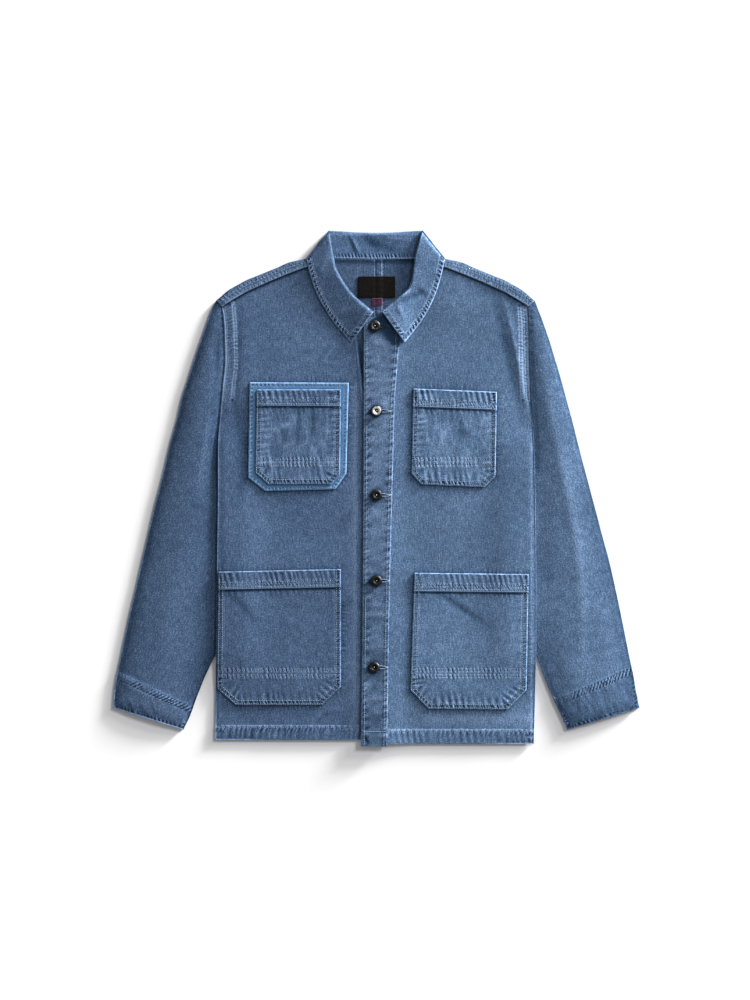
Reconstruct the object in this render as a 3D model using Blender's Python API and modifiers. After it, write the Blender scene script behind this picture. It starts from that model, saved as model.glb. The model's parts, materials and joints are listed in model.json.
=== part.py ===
"""Chore jacket in washed denim, buttoned and laid flat on its back.

The jacket lies with its collar towards +Y and its front facing +Z. The wearer's left is at +X.
Sizes are in millimetres and become metres when a mesh is made. Plan positions are measured from
the centre back seam line, and the whole jacket is centred on the origin at the end.
"side" is -1 for the wearer's right and +1 for the left, and "out" is the distance from the
centre line towards that side.
"""
import math
from collections import namedtuple

import bmesh
import bpy
from mathutils import Vector

MM = 0.001
RIGHT, LEFT = -1, 1
SIDE_NAME = {RIGHT: "right", LEFT: "left"}

# ---- cloth ------------------------------------------------------------------------------------
WALL = 1.5              # one layer of denim with its turnings
BAND_WALL = 2.3         # hems and pocket bands, where the cloth is turned under twice
LABEL_WALL = 1.0
GAP = 0.3               # between layers, and at seams
LAYER = WALL + GAP

# ---- body -------------------------------------------------------------------------------------
HEM_Y = {RIGHT: -378.0, LEFT: -384.0}
BACK_HEM_Y = -376.0
HEM_DEPTH = 21.0
CHEST_TOP_Y = 200.0     # rows are level below this line and fan out to the shoulder above it
ARMHOLE_ROWS = [213.0, 229.0, 245.5, 258.5, 271.5]      # where the back's upper rows end
COLUMN_OUT = [44.0, 82.0, 110.0, 145.0, 165.0, 182.0, 200.0, 218.0]
ROW_Y = [-330.0, -300.0, -278.0, -256.0, -220.0, -172.0, -123.0, -70.0, -18.0, 20.0, 46.0, 72.0,
         92.0, 112.0, 132.0, 161.0, 187.0, CHEST_TOP_Y]
SEAM_SLIT = 0.15        # half the slit at the centre back seam

BodySide = namedtuple("BodySide", "y right left")
BODY_SIDE = [
    BodySide(283.2, 236.3, 237.3),      # shoulder tip
    BodySide(271.5, 228.9, 228.2),
    BodySide(245.5, 226.0, 230.0),
    BodySide(213.0, 225.0, 230.4),
    BodySide(187.0, 224.3, 230.8),
    BodySide(161.0, 227.7, 231.8),
    BodySide(132.0, 230.3, 233.4),
    BodySide(72.0, 236.0, 238.0),       # underarm
    BodySide(-18.0, 236.0, 240.0),
    BodySide(-123.0, 237.5, 241.0),
    BodySide(-256.0, 239.0, 241.0),
    BodySide(-387.0, 240.5, 238.0),     # hem
]

Shoulder = namedtuple("Shoulder", "out fold strip_edge")
SHOULDER = [
    Shoulder(82.0, 347.0, 336.0),       # neck end, inside the collar
    Shoulder(103.0, 344.2, 331.5),
    Shoulder(130.0, 338.5, 321.5),
    Shoulder(156.0, 327.0, 311.0),
    Shoulder(194.0, 312.0, 294.0),
    Shoulder(221.0, 297.0, 278.0),
    Shoulder(236.3, 283.2, 268.0),      # sleeve end
]
STRIP_END_OUT = 227.7   # the strip's front corner at the sleeve

NeckPoint = namedtuple("NeckPoint", "out y")
BACK_NECK = [NeckPoint(0.0, 342.6), NeckPoint(59.0, 343.4), NeckPoint(74.0, 344.6),
             NeckPoint(82.0, 347.0)]

# ---- fronts and placket -----------------------------------------------------------------------
RIGHT_FRONT_EDGE = 22.0         # the right front runs this far past the centre, under the left
LEFT_FRONT_MARGIN = 0.2         # the left front ends this far beyond the placket's edge
LAP_RAMP = (24.0, 44.0)         # where the left front comes down off the right one
LAP_NECK_EASE = 0.3             # the laps part a little more towards the neck
LAP_NECK_Y = (205.0, 235.0)
LAP_COLUMNS = {RIGHT: [0.0, 20.0], LEFT: [3.0, LAP_RAMP[0]]}
TOP_EDGE_BOW = 8.0
FRONT_TOP_Y = 278.0             # front's shoulder corner at the sleeve, under the strip
FRONT_NECK_CORNER = (81.6, 341.0)
CLOSING_CORNER = {RIGHT: [(-22.0, 228.0), (-22.0, 238.0), (-6.0, 251.5)],
                  LEFT: [(-17.5, 236.0), (-17.5, 246.0), (1.0, 258.5)]}

PlacketRow = namedtuple("PlacketRow", "y left right")
PLACKET = [
    PlacketRow(250.0, -17.3, 37.0),
    PlacketRow(214.5, -17.3, 35.5),
    PlacketRow(132.0, -17.3, 28.8),
    PlacketRow(-112.5, -18.6, 22.4),
    PlacketRow(-235.5, -19.8, 19.8),
    PlacketRow(-387.0, -21.5, 17.6),
]
PLACKET_UPPER_ROWS = [213.0, 229.0, 243.0]
PLACKET_TOP = [NeckPoint(-17.5, 245.0), NeckPoint(1.0, 257.8), NeckPoint(13.7, 259.5),
               NeckPoint(37.0, 262.0)]

BUTTON_PLACES = [(-0.6, 242.7), (1.8, 115.5), (1.8, -10.5), (1.7, -138.8), (-1.7, -268.4)]
BUTTON_RADIUS = 8.5
BUTTON_PROFILE = [(0.0, 2.9), (1.5, 2.6), (2.0, 1.3), (2.9, 1.3), (4.4, 3.5), (6.2, 4.0),
                  (8.0, 3.2), (8.5, 1.7), (7.6, 0.0), (0.0, 0.0)]
BUTTON_SEGMENTS = 20

# ---- collar: each station runs from the neck seam over the roll to the outer edge --------------
Station = namedtuple("Station", "seam roll edge")
COLLAR_FRONT = {
    RIGHT: [
        Station((8.0, 257.0), (2.3, 264.3), (35.9, 217.8)),
        Station((17.0, 259.0), (9.5, 270.0), (46.0, 229.0)),
        Station((27.0, 263.0), (18.0, 277.0), (56.3, 240.2)),
        Station((44.0, 272.0), (31.5, 288.3), (66.0, 253.0)),
        Station((57.0, 284.0), (41.0, 300.0), (75.0, 267.0)),
        Station((69.0, 299.0), (51.0, 315.0), (84.0, 283.0)),
        Station((78.0, 316.0), (59.0, 331.0), (92.0, 300.0)),
        Station((80.0, 333.0), (63.0, 352.0), (98.0, 321.0)),
        Station((77.0, 346.0), (64.5, 375.0), (99.5, 341.0)),
    ],
    LEFT: [
        Station((14.0, 261.0), (9.75, 264.8), (43.9, 217.8)),
        Station((24.0, 264.0), (17.0, 271.0), (52.0, 228.0)),
        Station((36.0, 271.0), (25.4, 278.0), (60.0, 238.0)),
        Station((48.0, 280.0), (38.0, 288.0), (68.0, 248.5)),
        Station((60.0, 291.0), (48.0, 297.0), (76.5, 262.0)),
        Station((70.0, 303.0), (53.5, 307.0), (84.5, 277.0)),
        Station((78.0, 319.0), (56.0, 322.0), (92.5, 296.0)),
        Station((80.0, 335.0), (59.0, 347.0), (99.0, 319.0)),
        Station((77.0, 346.0), (64.5, 375.0), (101.0, 340.0)),
    ],
}
COLLAR_BACK = [
    Station((74.0, 345.0), (63.5, 378.5), (98.0, 339.0)),
    Station((62.0, 344.0), (58.0, 382.5), (86.0, 329.0)),
    Station((44.0, 343.7), (42.0, 382.0), (64.0, 323.5)),
    Station((22.0, 343.2), (21.0, 381.0), (32.0, 320.0)),
    Station((0.0, 342.9), (0.0, 380.5), (0.0, 318.5)),
]
COLLAR_REACH = 11.0             # the fall clears whatever the body has within this distance
COLLAR_EASE = 0.1
STAND_RISE = 1.2                # the stand lifts this much on its way to the roll
ROLL_DEPTH = 3.7                # from the stand up to the fall, mid wall to mid wall
SHOULDER_TURN = {"stand": 1.5, "fall": 8.6}     # how far the folded ring bulges at the shoulder
TURN_DIRECTION = (0.53, 0.85)
TURN_ANGLES = (45.0, 90.0, 135.0)
TURN_SQUARENESS = 0.6
COLLAR_NECK_SHARE = (0.0, 0.45)         # points on the stand, as shares of the way to the roll
COLLAR_FALL_SHARE = (0.3, 0.65, 1.0)    # points on the fall, as shares of the way to the edge

# ---- pockets, patch and labels: corners (x, y) seen from the front ------------------------------
Applied = namedtuple("Applied", "name top_l top_r low_l low_r foot_l foot_r band")
PATCH = Applied("patch", (-188.6, 158.3), (-39.9, 157.5), (-190.7, 15.5), (-43.5, 21.2),
                (-164.9, -4.7), (-60.0, -1.8), 0.0)
POCKETS = [
    Applied("pocket_chest_right", (-177.8, 147.5), (-51.5, 147.5), (-179.9, 22.7), (-53.0, 19.8),
            (-160.5, 5.4), (-65.9, 5.4), 24.3),
    Applied("pocket_chest_left", (56.6, 149.0), (182.1, 143.9), (54.3, 21.2), (180.0, 17.6),
            (68.7, 5.4), (163.5, 1.0), 27.0),
    Applied("pocket_hip_right", (-235.2, -125.6), (-51.6, -121.7), (-237.2, -300.6),
            (-51.6, -297.8), (-209.4, -325.5), (-80.3, -325.5), 26.7),
    Applied("pocket_hip_left", (58.5, -127.2), (229.4, -129.2), (52.5, -303.0), (226.4, -303.0),
            (79.7, -331.1), (198.2, -332.1), 27.5),
]
PATCH_EASE = 0.1            # slack between the patch and the pocket on it
EDGE_MARGIN = 4.0           # panel lines nearer than this to a pocket's edge are skipped
Label = namedtuple("Label", "name top_l top_r foot_l foot_r")
NECK_LABEL = Label("neck_label", (-26.4, 317.5), (30.2, 317.5), (-26.4, 285.0), (30.2, 285.0))
SIZE_LABEL = Label("size_label", (-5.4, 284.7), (10.7, 284.7), (-5.4, 273.0), (10.7, 273.0))
LABEL_ROWS = 5
LABEL_COLUMNS = 4

# ---- sleeves ----------------------------------------------------------------------------------
SleeveRow = namedtuple("SleeveRow", "outer_y outer_right outer_left inner_y tuck_right tuck_left")
SLEEVE = [      # tuck is how far the inner edge lies under the body's side, or outside it if < 0
    SleeveRow(281.4, 238.0, 239.0, 271.5, 0.0, 0.0),
    SleeveRow(268.0, 246.0, 244.0, 258.5, 0.0, 0.0),
    SleeveRow(252.0, 251.0, 250.0, 245.5, 0.0, 0.0),
    SleeveRow(222.0, 261.5, 260.5, 213.0, 0.0, 0.0),
    SleeveRow(192.0, 272.0, 269.5, 187.0, 0.0, 0.0),
    SleeveRow(164.0, 280.5, 278.0, 161.0, 0.0, 0.0),
    SleeveRow(134.0, 291.0, 286.0, 132.0, 0.0, 0.0),
    SleeveRow(102.0, 297.5, 295.0, 102.0, 0.0, 0.0),
    SleeveRow(74.0, 306.0, 302.0, 72.0, 0.0, 0.0),
    SleeveRow(50.0, 312.0, 308.0, 44.0, 0.0, 0.0),
    SleeveRow(24.0, 317.5, 315.0, 14.0, 6.0, 6.0),
    SleeveRow(-4.0, 325.0, 322.5, -16.0, 20.0, 20.0),
    SleeveRow(-34.0, 333.0, 330.5, -48.0, 30.0, 30.0),
    SleeveRow(-70.0, 341.0, 340.0, -86.0, 34.0, 34.0),
    SleeveRow(-110.0, 350.4, 351.0, -128.0, 33.0, 33.0),
    SleeveRow(-150.0, 359.3, 360.0, -170.0, 27.0, 27.0),
    SleeveRow(-190.0, 369.0, 368.5, -212.0, 16.0, 16.0),
    SleeveRow(-228.0, 377.0, 376.0, -250.0, 0.0, 0.0),
    SleeveRow(-256.0, 382.7, 381.6, -285.0, -16.5, -12.5),
    SleeveRow(-273.0, 386.4, 385.5, -319.0, -29.5, -28.0),
    SleeveRow(-276.0, 387.0, 386.0, -322.0, -30.5, -29.5),
    SleeveRow(-303.0, 391.3, 391.0, -342.0, -37.0, -40.0),
    SleeveRow(-329.6, 392.9, 396.3, -362.5, -47.0, -49.0),
]
CUFF_FIRST_ROW = 20             # the cuff's hem starts at this row
SLEEVE_COLUMNS = 9
ARMHOLE_SLIT = 0.8              # in plan; the curved edges close it to about the usual gap
SLEEVE_RIM = 3.0                # first column in from the inner edge
PRESSED_Y = (-258.0, 50.0)      # the body presses the inner edge flat between these heights
PRESSED_MARGIN = 2.0
SLEEVE_FULLNESS = 3.2           # how far the top sleeve stands off the under sleeve
SLEEVE_CAP_ROWS = 4             # the fullness grows over these rows from the shoulder tip

# ---- how the layers lift over each other --------------------------------------------------------
SLEEVE_LIFT = 2 * LAYER                 # the back passes over both walls of a tucked sleeve
SLEEVE_LIFT_OUT = (165.0, 200.0)
SLEEVE_LIFT_TOP = (112.0, 46.0)
SLEEVE_LIFT_FOOT = (-300.0, -256.0)
NECK_LIFT_Y = (225.0, 316.0)            # the back passes over the collar's folded fall
NECK_LIFT_OUT = (150.0, 106.0)
FRONT_FULLNESS = 2.0
FULLNESS_SIDE = (0.0, 75.0)             # distance in from the side seam
FULLNESS_TOP = (250.0, 140.0)
FULLNESS_FOOT = (-380.0, -300.0)

Fold = namedtuple("Fold", "side points height width")
FOLDS = [       # soft ridges, or troughs where the height is negative, along a line on a front
    Fold(LEFT, [(178.0, 292.0), (190.0, 232.0), (200.0, 187.0), (216.0, 140.0)], -1.2, 12.0),
    Fold(LEFT, [(204.0, 262.0), (212.0, 200.0), (222.0, 150.0)], 1.2, 10.0),
    Fold(LEFT, [(98.0, -158.0), (130.0, -190.0), (158.0, -216.0)], -0.9, 14.0),
    Fold(RIGHT, [(-205.0, 240.0), (-196.0, 190.0), (-202.0, 120.0)], 0.9, 12.0),
    Fold(RIGHT, [(-150.0, -20.0), (-120.0, -60.0), (-80.0, -95.0)], -0.8, 18.0),
    Fold(LEFT, [(90.0, -30.0), (140.0, -62.0), (200.0, -84.0)], 0.8, 18.0),
]
SLEEVE_FOLDS = [    # on the top sleeves, which lie outside the body
    Fold(LEFT, [(288.0, -205.0), (292.0, -262.0), (296.0, -318.0)], 1.4, 8.0),
    Fold(LEFT, [(262.0, 190.0), (276.0, 90.0), (296.0, -30.0)], 1.0, 9.0),
    Fold(RIGHT, [(-255.0, 190.0), (-268.0, 90.0), (-290.0, -40.0)], 1.0, 9.0),
    Fold(RIGHT, [(-300.0, -120.0), (-318.0, -200.0), (-336.0, -290.0)], 1.1, 10.0),
]

Finish = namedtuple("Finish", "colour roughness metallic")
FINISHES = {
    "denim": Finish((0.085, 0.150, 0.250), 0.85, 0.0),
    "patch_denim": Finish((0.130, 0.250, 0.420), 0.85, 0.0),
    "label_black": Finish((0.015, 0.014, 0.013), 0.80, 0.0),
    "label_plum": Finish((0.090, 0.030, 0.065), 0.80, 0.0),
    "gunmetal": Finish((0.150, 0.140, 0.130), 0.35, 1.0),
}


# ---- small helpers ------------------------------------------------------------------------------
def ramp(value, start, end):
    """0 at start and 1 at end, eased between them; start may be the larger of the two."""
    share = min(max((value - start) / (end - start), 0.0), 1.0)
    return share * share * (3.0 - 2.0 * share)


def lookup(table, key, column, value):
    """Read a column of a table at a key between its rows, in a straight line between rows."""
    rows = sorted(table, key=lambda row: getattr(row, key))
    value = min(max(value, getattr(rows[0], key)), getattr(rows[-1], key))
    for low, high in zip(rows, rows[1:]):
        span = getattr(high, key) - getattr(low, key)
        if value <= getattr(high, key):
            share = (value - getattr(low, key)) / span
            return getattr(low, column) + share * (getattr(high, column) - getattr(low, column))
    return getattr(rows[-1], column)


def mix(a, b, share):
    """The point that lies a share of the way from a to b."""
    return tuple(p + (q - p) * share for p, q in zip(a, b))


def steps(count):
    """Evenly spaced shares from 0 to 1."""
    return [i / (count - 1) for i in range(count)]


def distance_to_path(x, y, points):
    """Distance in plan from a place to a broken line, and the share of the line passed there."""
    best, best_share = math.inf, 0.0
    for i, (a, b) in enumerate(zip(points, points[1:])):
        run = (b[0] - a[0], b[1] - a[1])
        along = ((x - a[0]) * run[0] + (y - a[1]) * run[1]) / (run[0] ** 2 + run[1] ** 2)
        along = min(max(along, 0.0), 1.0)
        near = mix(a, b, along)
        gap = math.hypot(x - near[0], y - near[1])
        if gap < best:
            best, best_share = gap, (i + along) / (len(points) - 1)
    return best, best_share


def fold_relief(folds, side, x, y):
    """Height that the folds of one side add at a place; each fold fades out at its ends."""
    relief = 0.0
    for fold in folds:
        if fold.side == side:
            gap, share = distance_to_path(x, y, fold.points)
            fade = math.sin(math.pi * (0.1 + 0.8 * share))
            relief += fold.height * fade * math.exp(-(gap / fold.width) ** 2)
    return relief


# ---- where the body's surfaces lie ----------------------------------------------------------------
def side_out(side, y):
    """Distance from the centre line to the side seam or armhole."""
    return lookup(BODY_SIDE, "y", SIDE_NAME[side], y)


def closing_out(side, y):
    """Distance of a front's closing edge from the centre line, negative past the centre."""
    if side == RIGHT:
        return -RIGHT_FRONT_EDGE
    return lookup(PLACKET, "y", "left", y) - LEFT_FRONT_MARGIN


def back_under(x, y):
    """Underside of the back: flat on the ground, lifted over the sleeves and the collar's fall."""
    out = abs(x)
    over_sleeve = (SLEEVE_LIFT * ramp(out, *SLEEVE_LIFT_OUT) * ramp(y, *SLEEVE_LIFT_TOP)
                   * ramp(y, *SLEEVE_LIFT_FOOT))
    over_collar = LAYER * ramp(y, *NECK_LIFT_Y) * ramp(out, *NECK_LIFT_OUT)
    return over_sleeve + over_collar


def back_top(x, y):
    """Inside face of the back."""
    return back_under(x, y) + WALL


def fullness(side, x, y):
    """How far the front stands off the back, with its folds."""
    from_side = side_out(side, y) - side * x
    spread = (ramp(from_side, *FULLNESS_SIDE) * ramp(y, *FULLNESS_TOP)
              * ramp(y, *FULLNESS_FOOT))
    seam_fade = ramp(from_side, 0.0, 12.0) * ramp(y, 262.0, 235.0)
    return max(FRONT_FULLNESS * spread + seam_fade * fold_relief(FOLDS, side, x, y), 0.0)


def hem_wall(side, y):
    """Thickness of a front: one layer, or the doubled hem."""
    return BAND_WALL if y < HEM_Y[side] + HEM_DEPTH + 0.5 else WALL


def front_under(side, x, y):
    """Underside of a front; the left front rises over the lapped edge of the right one."""
    height = back_top(x, y) + GAP + fullness(side, x, y)
    if side == LEFT:
        lap_end, front_start = LAP_RAMP
        lapped = min(max((front_start - x) / (front_start - lap_end), 0.0), 1.0)
        hem_rise = (BAND_WALL - WALL) * ramp(y, ROW_Y[1], ROW_Y[0])
        neck_rise = LAP_NECK_EASE * ramp(y, *LAP_NECK_Y)
        height += lapped * (LAYER + hem_rise + neck_rise)
    return height


def front_top(side, x, y):
    """Outer face of a front."""
    return front_under(side, x, y) + hem_wall(side, y)


def level_rows(side):
    """Heights up the jacket of a front's level rows, hem first."""
    return [HEM_Y[side], HEM_Y[side] + HEM_DEPTH, HEM_Y[side] + HEM_DEPTH + 2.0] + ROW_Y


def front_columns(side, y):
    """Distances out of a front's columns on a level row."""
    return [closing_out(side, y)] + LAP_COLUMNS[side] + COLUMN_OUT + [side_out(side, y)]


def on_front(side, x, y):
    """Outer face of a front as its own two facets give it, from the corners round a place."""
    rows = level_rows(side)
    if y >= CHEST_TOP_Y:
        return front_top(side, x, y)
    j = min(max(sum(1 for row in rows if row <= y) - 1, 0), len(rows) - 2)
    up = min(max((y - rows[j]) / (rows[j + 1] - rows[j]), 0.0), 1.0)
    corners = []
    for row_y in rows[j:j + 2]:
        columns = front_columns(side, row_y)
        i = min(max(sum(1 for out in columns if out <= side * x) - 1, 0), len(columns) - 2)
        across = (side * x - columns[i]) / (columns[i + 1] - columns[i])
        corners.append([front_top(side, side * out, row_y) for out in columns[i:i + 2]])
    across = min(max(across, 0.0), 1.0)
    (inner_low, outer_low), (inner_high, outer_high) = corners
    if across >= up:
        return inner_low + across * (outer_low - inner_low) + up * (outer_high - outer_low)
    return inner_low + up * (inner_high - inner_low) + across * (outer_high - inner_high)


def placket_under(x, y):
    return on_front(LEFT, x, y) + GAP + LAP_NECK_EASE * ramp(y, *LAP_NECK_Y)


def placket_top(x, y):
    return placket_under(x, y) + WALL


def strip_middle(x, y):
    """Middle of the shoulder strip's wall, which lies on the front's top edge."""
    return back_under(x, y) + 2 * LAYER + WALL / 2


def body_top(x, y):
    """Highest face of the body at a place near the collar."""
    out = abs(x)
    left_edge = closing_out(LEFT, y)
    if left_edge < x < lookup(PLACKET, "y", "right", y):
        return placket_top(x, y)
    if out > SHOULDER[0].out - 2.0 and y > lookup(SHOULDER, "out", "strip_edge", out):
        return strip_middle(x, y) + WALL / 2
    return front_top(LEFT if x > left_edge else RIGHT, x, y)


def clear_of_body(x, y):
    """Lowest middle height that keeps a wall clear of the body all round a place."""
    reach = (-COLLAR_REACH, 0.0, COLLAR_REACH)
    spots = [(x + dx, y + dy) for dx in reach for dy in reach]
    return max(body_top(*spot) for spot in spots) + GAP + WALL / 2 + COLLAR_EASE


# ---- making sheets --------------------------------------------------------------------------------
def finish_material(name):
    material = bpy.data.materials.new(name)
    material.use_nodes = True
    shader = material.node_tree.nodes["Principled BSDF"]
    finish = FINISHES[name]
    shader.inputs["Base Color"].default_value = (*finish.colour, 1.0)
    shader.inputs["Roughness"].default_value = finish.roughness
    shader.inputs["Metallic"].default_value = finish.metallic
    return material


def place_object(name, mesh, material, collection):
    obj = bpy.data.objects.new(name, mesh)
    mesh.materials.append(material)
    collection.objects.link(obj)
    return obj


def grid_mesh(name, rows):
    """Make an open mesh from rows of points in millimetres; None leaves a place empty."""
    mesh = bpy.data.meshes.new(name)
    bm = bmesh.new()
    verts = [[point and bm.verts.new(Vector(point) * MM) for point in row] for row in rows]
    for low, high in zip(verts, verts[1:]):
        for i in range(len(low) - 1):
            corners = (low[i], low[i + 1], high[i + 1], high[i])
            if all(corners):
                bm.faces.new(corners)
    bm.normal_update()
    if sum(face.normal.z for face in bm.faces) < 0.0:
        bmesh.ops.reverse_faces(bm, faces=bm.faces)
    bm.to_mesh(mesh)
    bm.free()
    mesh.shade_smooth()
    return mesh


def cloth(name, rows, material, collection, wall=WALL, offset=0.0):
    """Give a sheet its wall; offset 1 builds the wall up from the points, 0 builds it both ways."""
    obj = place_object(name, grid_mesh(name, rows), material, collection)
    solid = obj.modifiers.new("wall", "SOLIDIFY")
    solid.thickness = wall * MM
    solid.offset = offset
    return obj


def banded_cloth(name, rows, band_rows, material, collection):
    """Cloth built up from its points, thicker on the rows of a band."""
    points = [(point, i in band_rows) for i, row in enumerate(rows) for point in row]
    obj = cloth(name, rows, material, collection, wall=BAND_WALL, offset=1.0)
    group = obj.vertex_groups.new(name="band")
    group.add([i for i, (_, banded) in enumerate(points) if banded], 1.0, "REPLACE")
    group.add([i for i, (_, banded) in enumerate(points) if not banded], 0.0, "REPLACE")
    solid = obj.modifiers["wall"]
    solid.vertex_group = group.name
    solid.thickness_vertex_group = WALL / BAND_WALL
    return obj


# ---- body panels ------------------------------------------------------------------------------------
def back_rows(side):
    """Rows of a back panel from hem to shoulder, round the fold and down to the strip's edge."""
    columns = [SEAM_SLIT] + COLUMN_OUT
    neck_end = SHOULDER[0].out
    fold_depth = LAYER + WALL / 2       # inset of the flat layers from the fold's outer face
    rows = [[(out, y) for out in columns + [side_out(side, y)]] for y in [BACK_HEM_Y] + ROW_Y]
    tip_y = BODY_SIDE[0].y - fold_depth
    for edge_y in ARMHOLE_ROWS + [tip_y]:
        climb = (edge_y - CHEST_TOP_Y) / (tip_y - CHEST_TOP_Y)
        edge_out = side_out(side, BODY_SIDE[0].y if edge_y == tip_y else edge_y)
        row = []
        for out in columns:
            if out < neck_end:
                top_y = lookup(BACK_NECK, "out", "y", out)
            else:
                top_y = lookup(SHOULDER, "out", "fold", out) - fold_depth
            row.append((out, CHEST_TOP_Y + climb * (top_y - CHEST_TOP_Y)))
        rows.append(row + [(edge_out, edge_y)])
    rows = [[(side * out, y, back_under(side * out, y) + WALL / 2) for out, y in row]
            for row in rows]
    return rows + shoulder_wrap(side, rows[-1], columns.index(neck_end))


def shoulder_wrap(side, fold_row, first):
    """Rows that carry the back over the shoulder fold and on to the front as a strip."""
    wrap = []
    for angle in (45.0, 90.0, 135.0, 180.0):
        forward = LAYER * math.sin(math.radians(angle))
        lift = LAYER * (1.0 - math.cos(math.radians(angle)))
        wrap.append([None] * first + [(x, y + forward, z + lift) for x, y, z in fold_row[first:]])
    start, end = abs(fold_row[first][0]), abs(fold_row[-1][0])
    for share in (0.5, 1.0):
        row = [None] * first
        for x, y, _ in fold_row[first:]:
            along = (abs(x) - start) / (end - start)
            edge_out = abs(x) + along * (STRIP_END_OUT - end)
            edge_y = lookup(SHOULDER, "out", "strip_edge", edge_out)
            place = mix((x, y), (side * edge_out, edge_y), share)
            row.append((*place, strip_middle(*place)))
        wrap.append(row)
    return wrap


def front_neck(side):
    """Front neck edge from the closing edge to the shoulder, just outside the collar's seam."""
    seam = [station.seam for station in COLLAR_FRONT[side][:-1]]
    edge = []
    for i, (out, y) in enumerate(seam):
        before, after = seam[max(i - 1, 0)], seam[min(i + 1, len(seam) - 1)]
        run = Vector((after[0] - before[0], after[1] - before[1])).normalized()
        edge.append((out + GAP * run.y, y - GAP * run.x))
    return CLOSING_CORNER[side] + edge + [FRONT_NECK_CORNER]


def front_rows(side):
    """Rows of a front from hem to shoulder seam; each runs from the closing edge to the side."""
    rows = [[(out, y) for out in front_columns(side, y)] for y in level_rows(side)]
    chest = [out for out, _ in rows[-1]]
    shares = [(out - chest[0]) / (chest[-1] - chest[0]) for out in chest]
    neck = front_neck(side)
    for i, inner in enumerate(neck):
        climb = (i + 1) / len(neck)
        outer_y = CHEST_TOP_Y + climb * (FRONT_TOP_Y - CHEST_TOP_Y)
        outer = (side_out(side, outer_y), outer_y)
        row = []
        for share in shares:
            out, y = mix(inner, outer, share)
            row.append((out, y + TOP_EDGE_BOW * climb * 4.0 * share * (1.0 - share)))
        rows.append(row)
    return [[(side * out, y, front_under(side, side * out, y)) for out, y in row] for row in rows]


def placket_rows():
    """Rows of the button band, on the left front's own surface, foot to top."""
    rows = []
    levels = [PLACKET[-1].y] + level_rows(LEFT)[1:] + PLACKET_UPPER_ROWS
    for y in levels + [None]:
        left, right = (lookup(PLACKET, "y", name, levels[-1] if y is None else y)
                       for name in ("left", "right"))
        columns = [left, LAP_COLUMNS[LEFT][0], min(LAP_RAMP[0], right - 3.0), right]
        places = [(x, lookup(PLACKET_TOP, "out", "y", x) if y is None else y) for x in columns]
        rows.append([(*place, placket_under(*place)) for place in places])
    return rows


# ---- applied pieces -----------------------------------------------------------------------------------
def lines_between(lines, start, end):
    """The panel's lines that cross a piece, apart from those right beside its edges."""
    low, high = min(start, end) + EDGE_MARGIN, max(start, end) - EDGE_MARGIN
    return sorted((line for line in lines if low < line < high), reverse=start > end)


def pocket_rows(shape, side, under):
    """Rows of a piece sewn on a front, cut where the front's own lines cross it.

    They run like the front's rows, foot to top and centre to side, so that both have the same
    facets.
    """
    drop = shape.top_l[1] - shape.low_l[1]
    ends = [(shape.top_l, shape.top_r)]
    if shape.band:
        ends += [tuple(mix(top, low, depth / drop)
                       for top, low in ((shape.top_l, shape.low_l), (shape.top_r, shape.low_r)))
                 for depth in (shape.band, shape.band + 1.5)]
    first_y = min(ends[-1][0][1], ends[-1][1][1])
    for y in lines_between(ROW_Y, first_y, max(shape.low_l[1], shape.low_r[1])):
        ends.append(tuple(mix(top, low, (top[1] - y) / (top[1] - low[1]))
                          for top, low in ((shape.top_l, shape.low_l), (shape.top_r, shape.low_r))))
    ends += [(shape.low_l, shape.low_r), (shape.foot_l, shape.foot_r)]
    crossing = lines_between([side * out for out in COLUMN_OUT], shape.low_l[0], shape.low_r[0])
    shares = [(x - shape.low_l[0]) / (shape.low_r[0] - shape.low_l[0]) for x in crossing]
    grid = []
    for left, right in ends:
        if (left, right) == ends[-1]:
            inner = [mix(left, right, share) for share in shares]
        else:
            inner = [(x, mix(left, right, (x - left[0]) / (right[0] - left[0]))[1])
                     for x in crossing]
        grid.append([(x, y, under(x, y)) for x, y in [left, *inner, right]][::side])
    return grid[::-1]


def label_rows(shape):
    """Rows of a label sewn to the inside of the back."""
    grid = []
    for down in steps(LABEL_ROWS):
        left, right = mix(shape.top_l, shape.foot_l, down), mix(shape.top_r, shape.foot_r, down)
        places = [mix(left, right, share) for share in steps(LABEL_COLUMNS)]
        grid.append([(x, y, back_top(x, y) + GAP) for x, y in places])
    return grid


def add_pockets(materials, collection):
    """The backing patch and the four patch pockets, each on the surface that carries it."""
    def on_right(x, y):
        return on_front(RIGHT, x, y) + GAP

    def on_left(x, y):
        return on_front(LEFT, x, y) + GAP

    def on_patch(x, y):
        return on_right(x, y) + LAYER + PATCH_EASE

    cloth("patch", pocket_rows(PATCH, RIGHT, on_right), materials["patch_denim"], collection,
          offset=1.0)
    carriers = (on_patch, on_left, on_right, on_left)
    for pocket, under in zip(POCKETS, carriers):
        side = RIGHT if pocket.top_l[0] < 0.0 else LEFT
        rows = pocket_rows(pocket, side, under)
        band = range(len(rows) - 2, len(rows))
        banded_cloth(pocket.name, rows, band, materials["denim"], collection)


def add_labels(materials, collection):
    """The neck label on the inside of the back, and the size tab below it."""
    for shape, finish in ((NECK_LABEL, "label_black"), (SIZE_LABEL, "label_plum")):
        cloth(shape.name, label_rows(shape), materials[finish], collection,
              wall=LABEL_WALL, offset=1.0)


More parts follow.
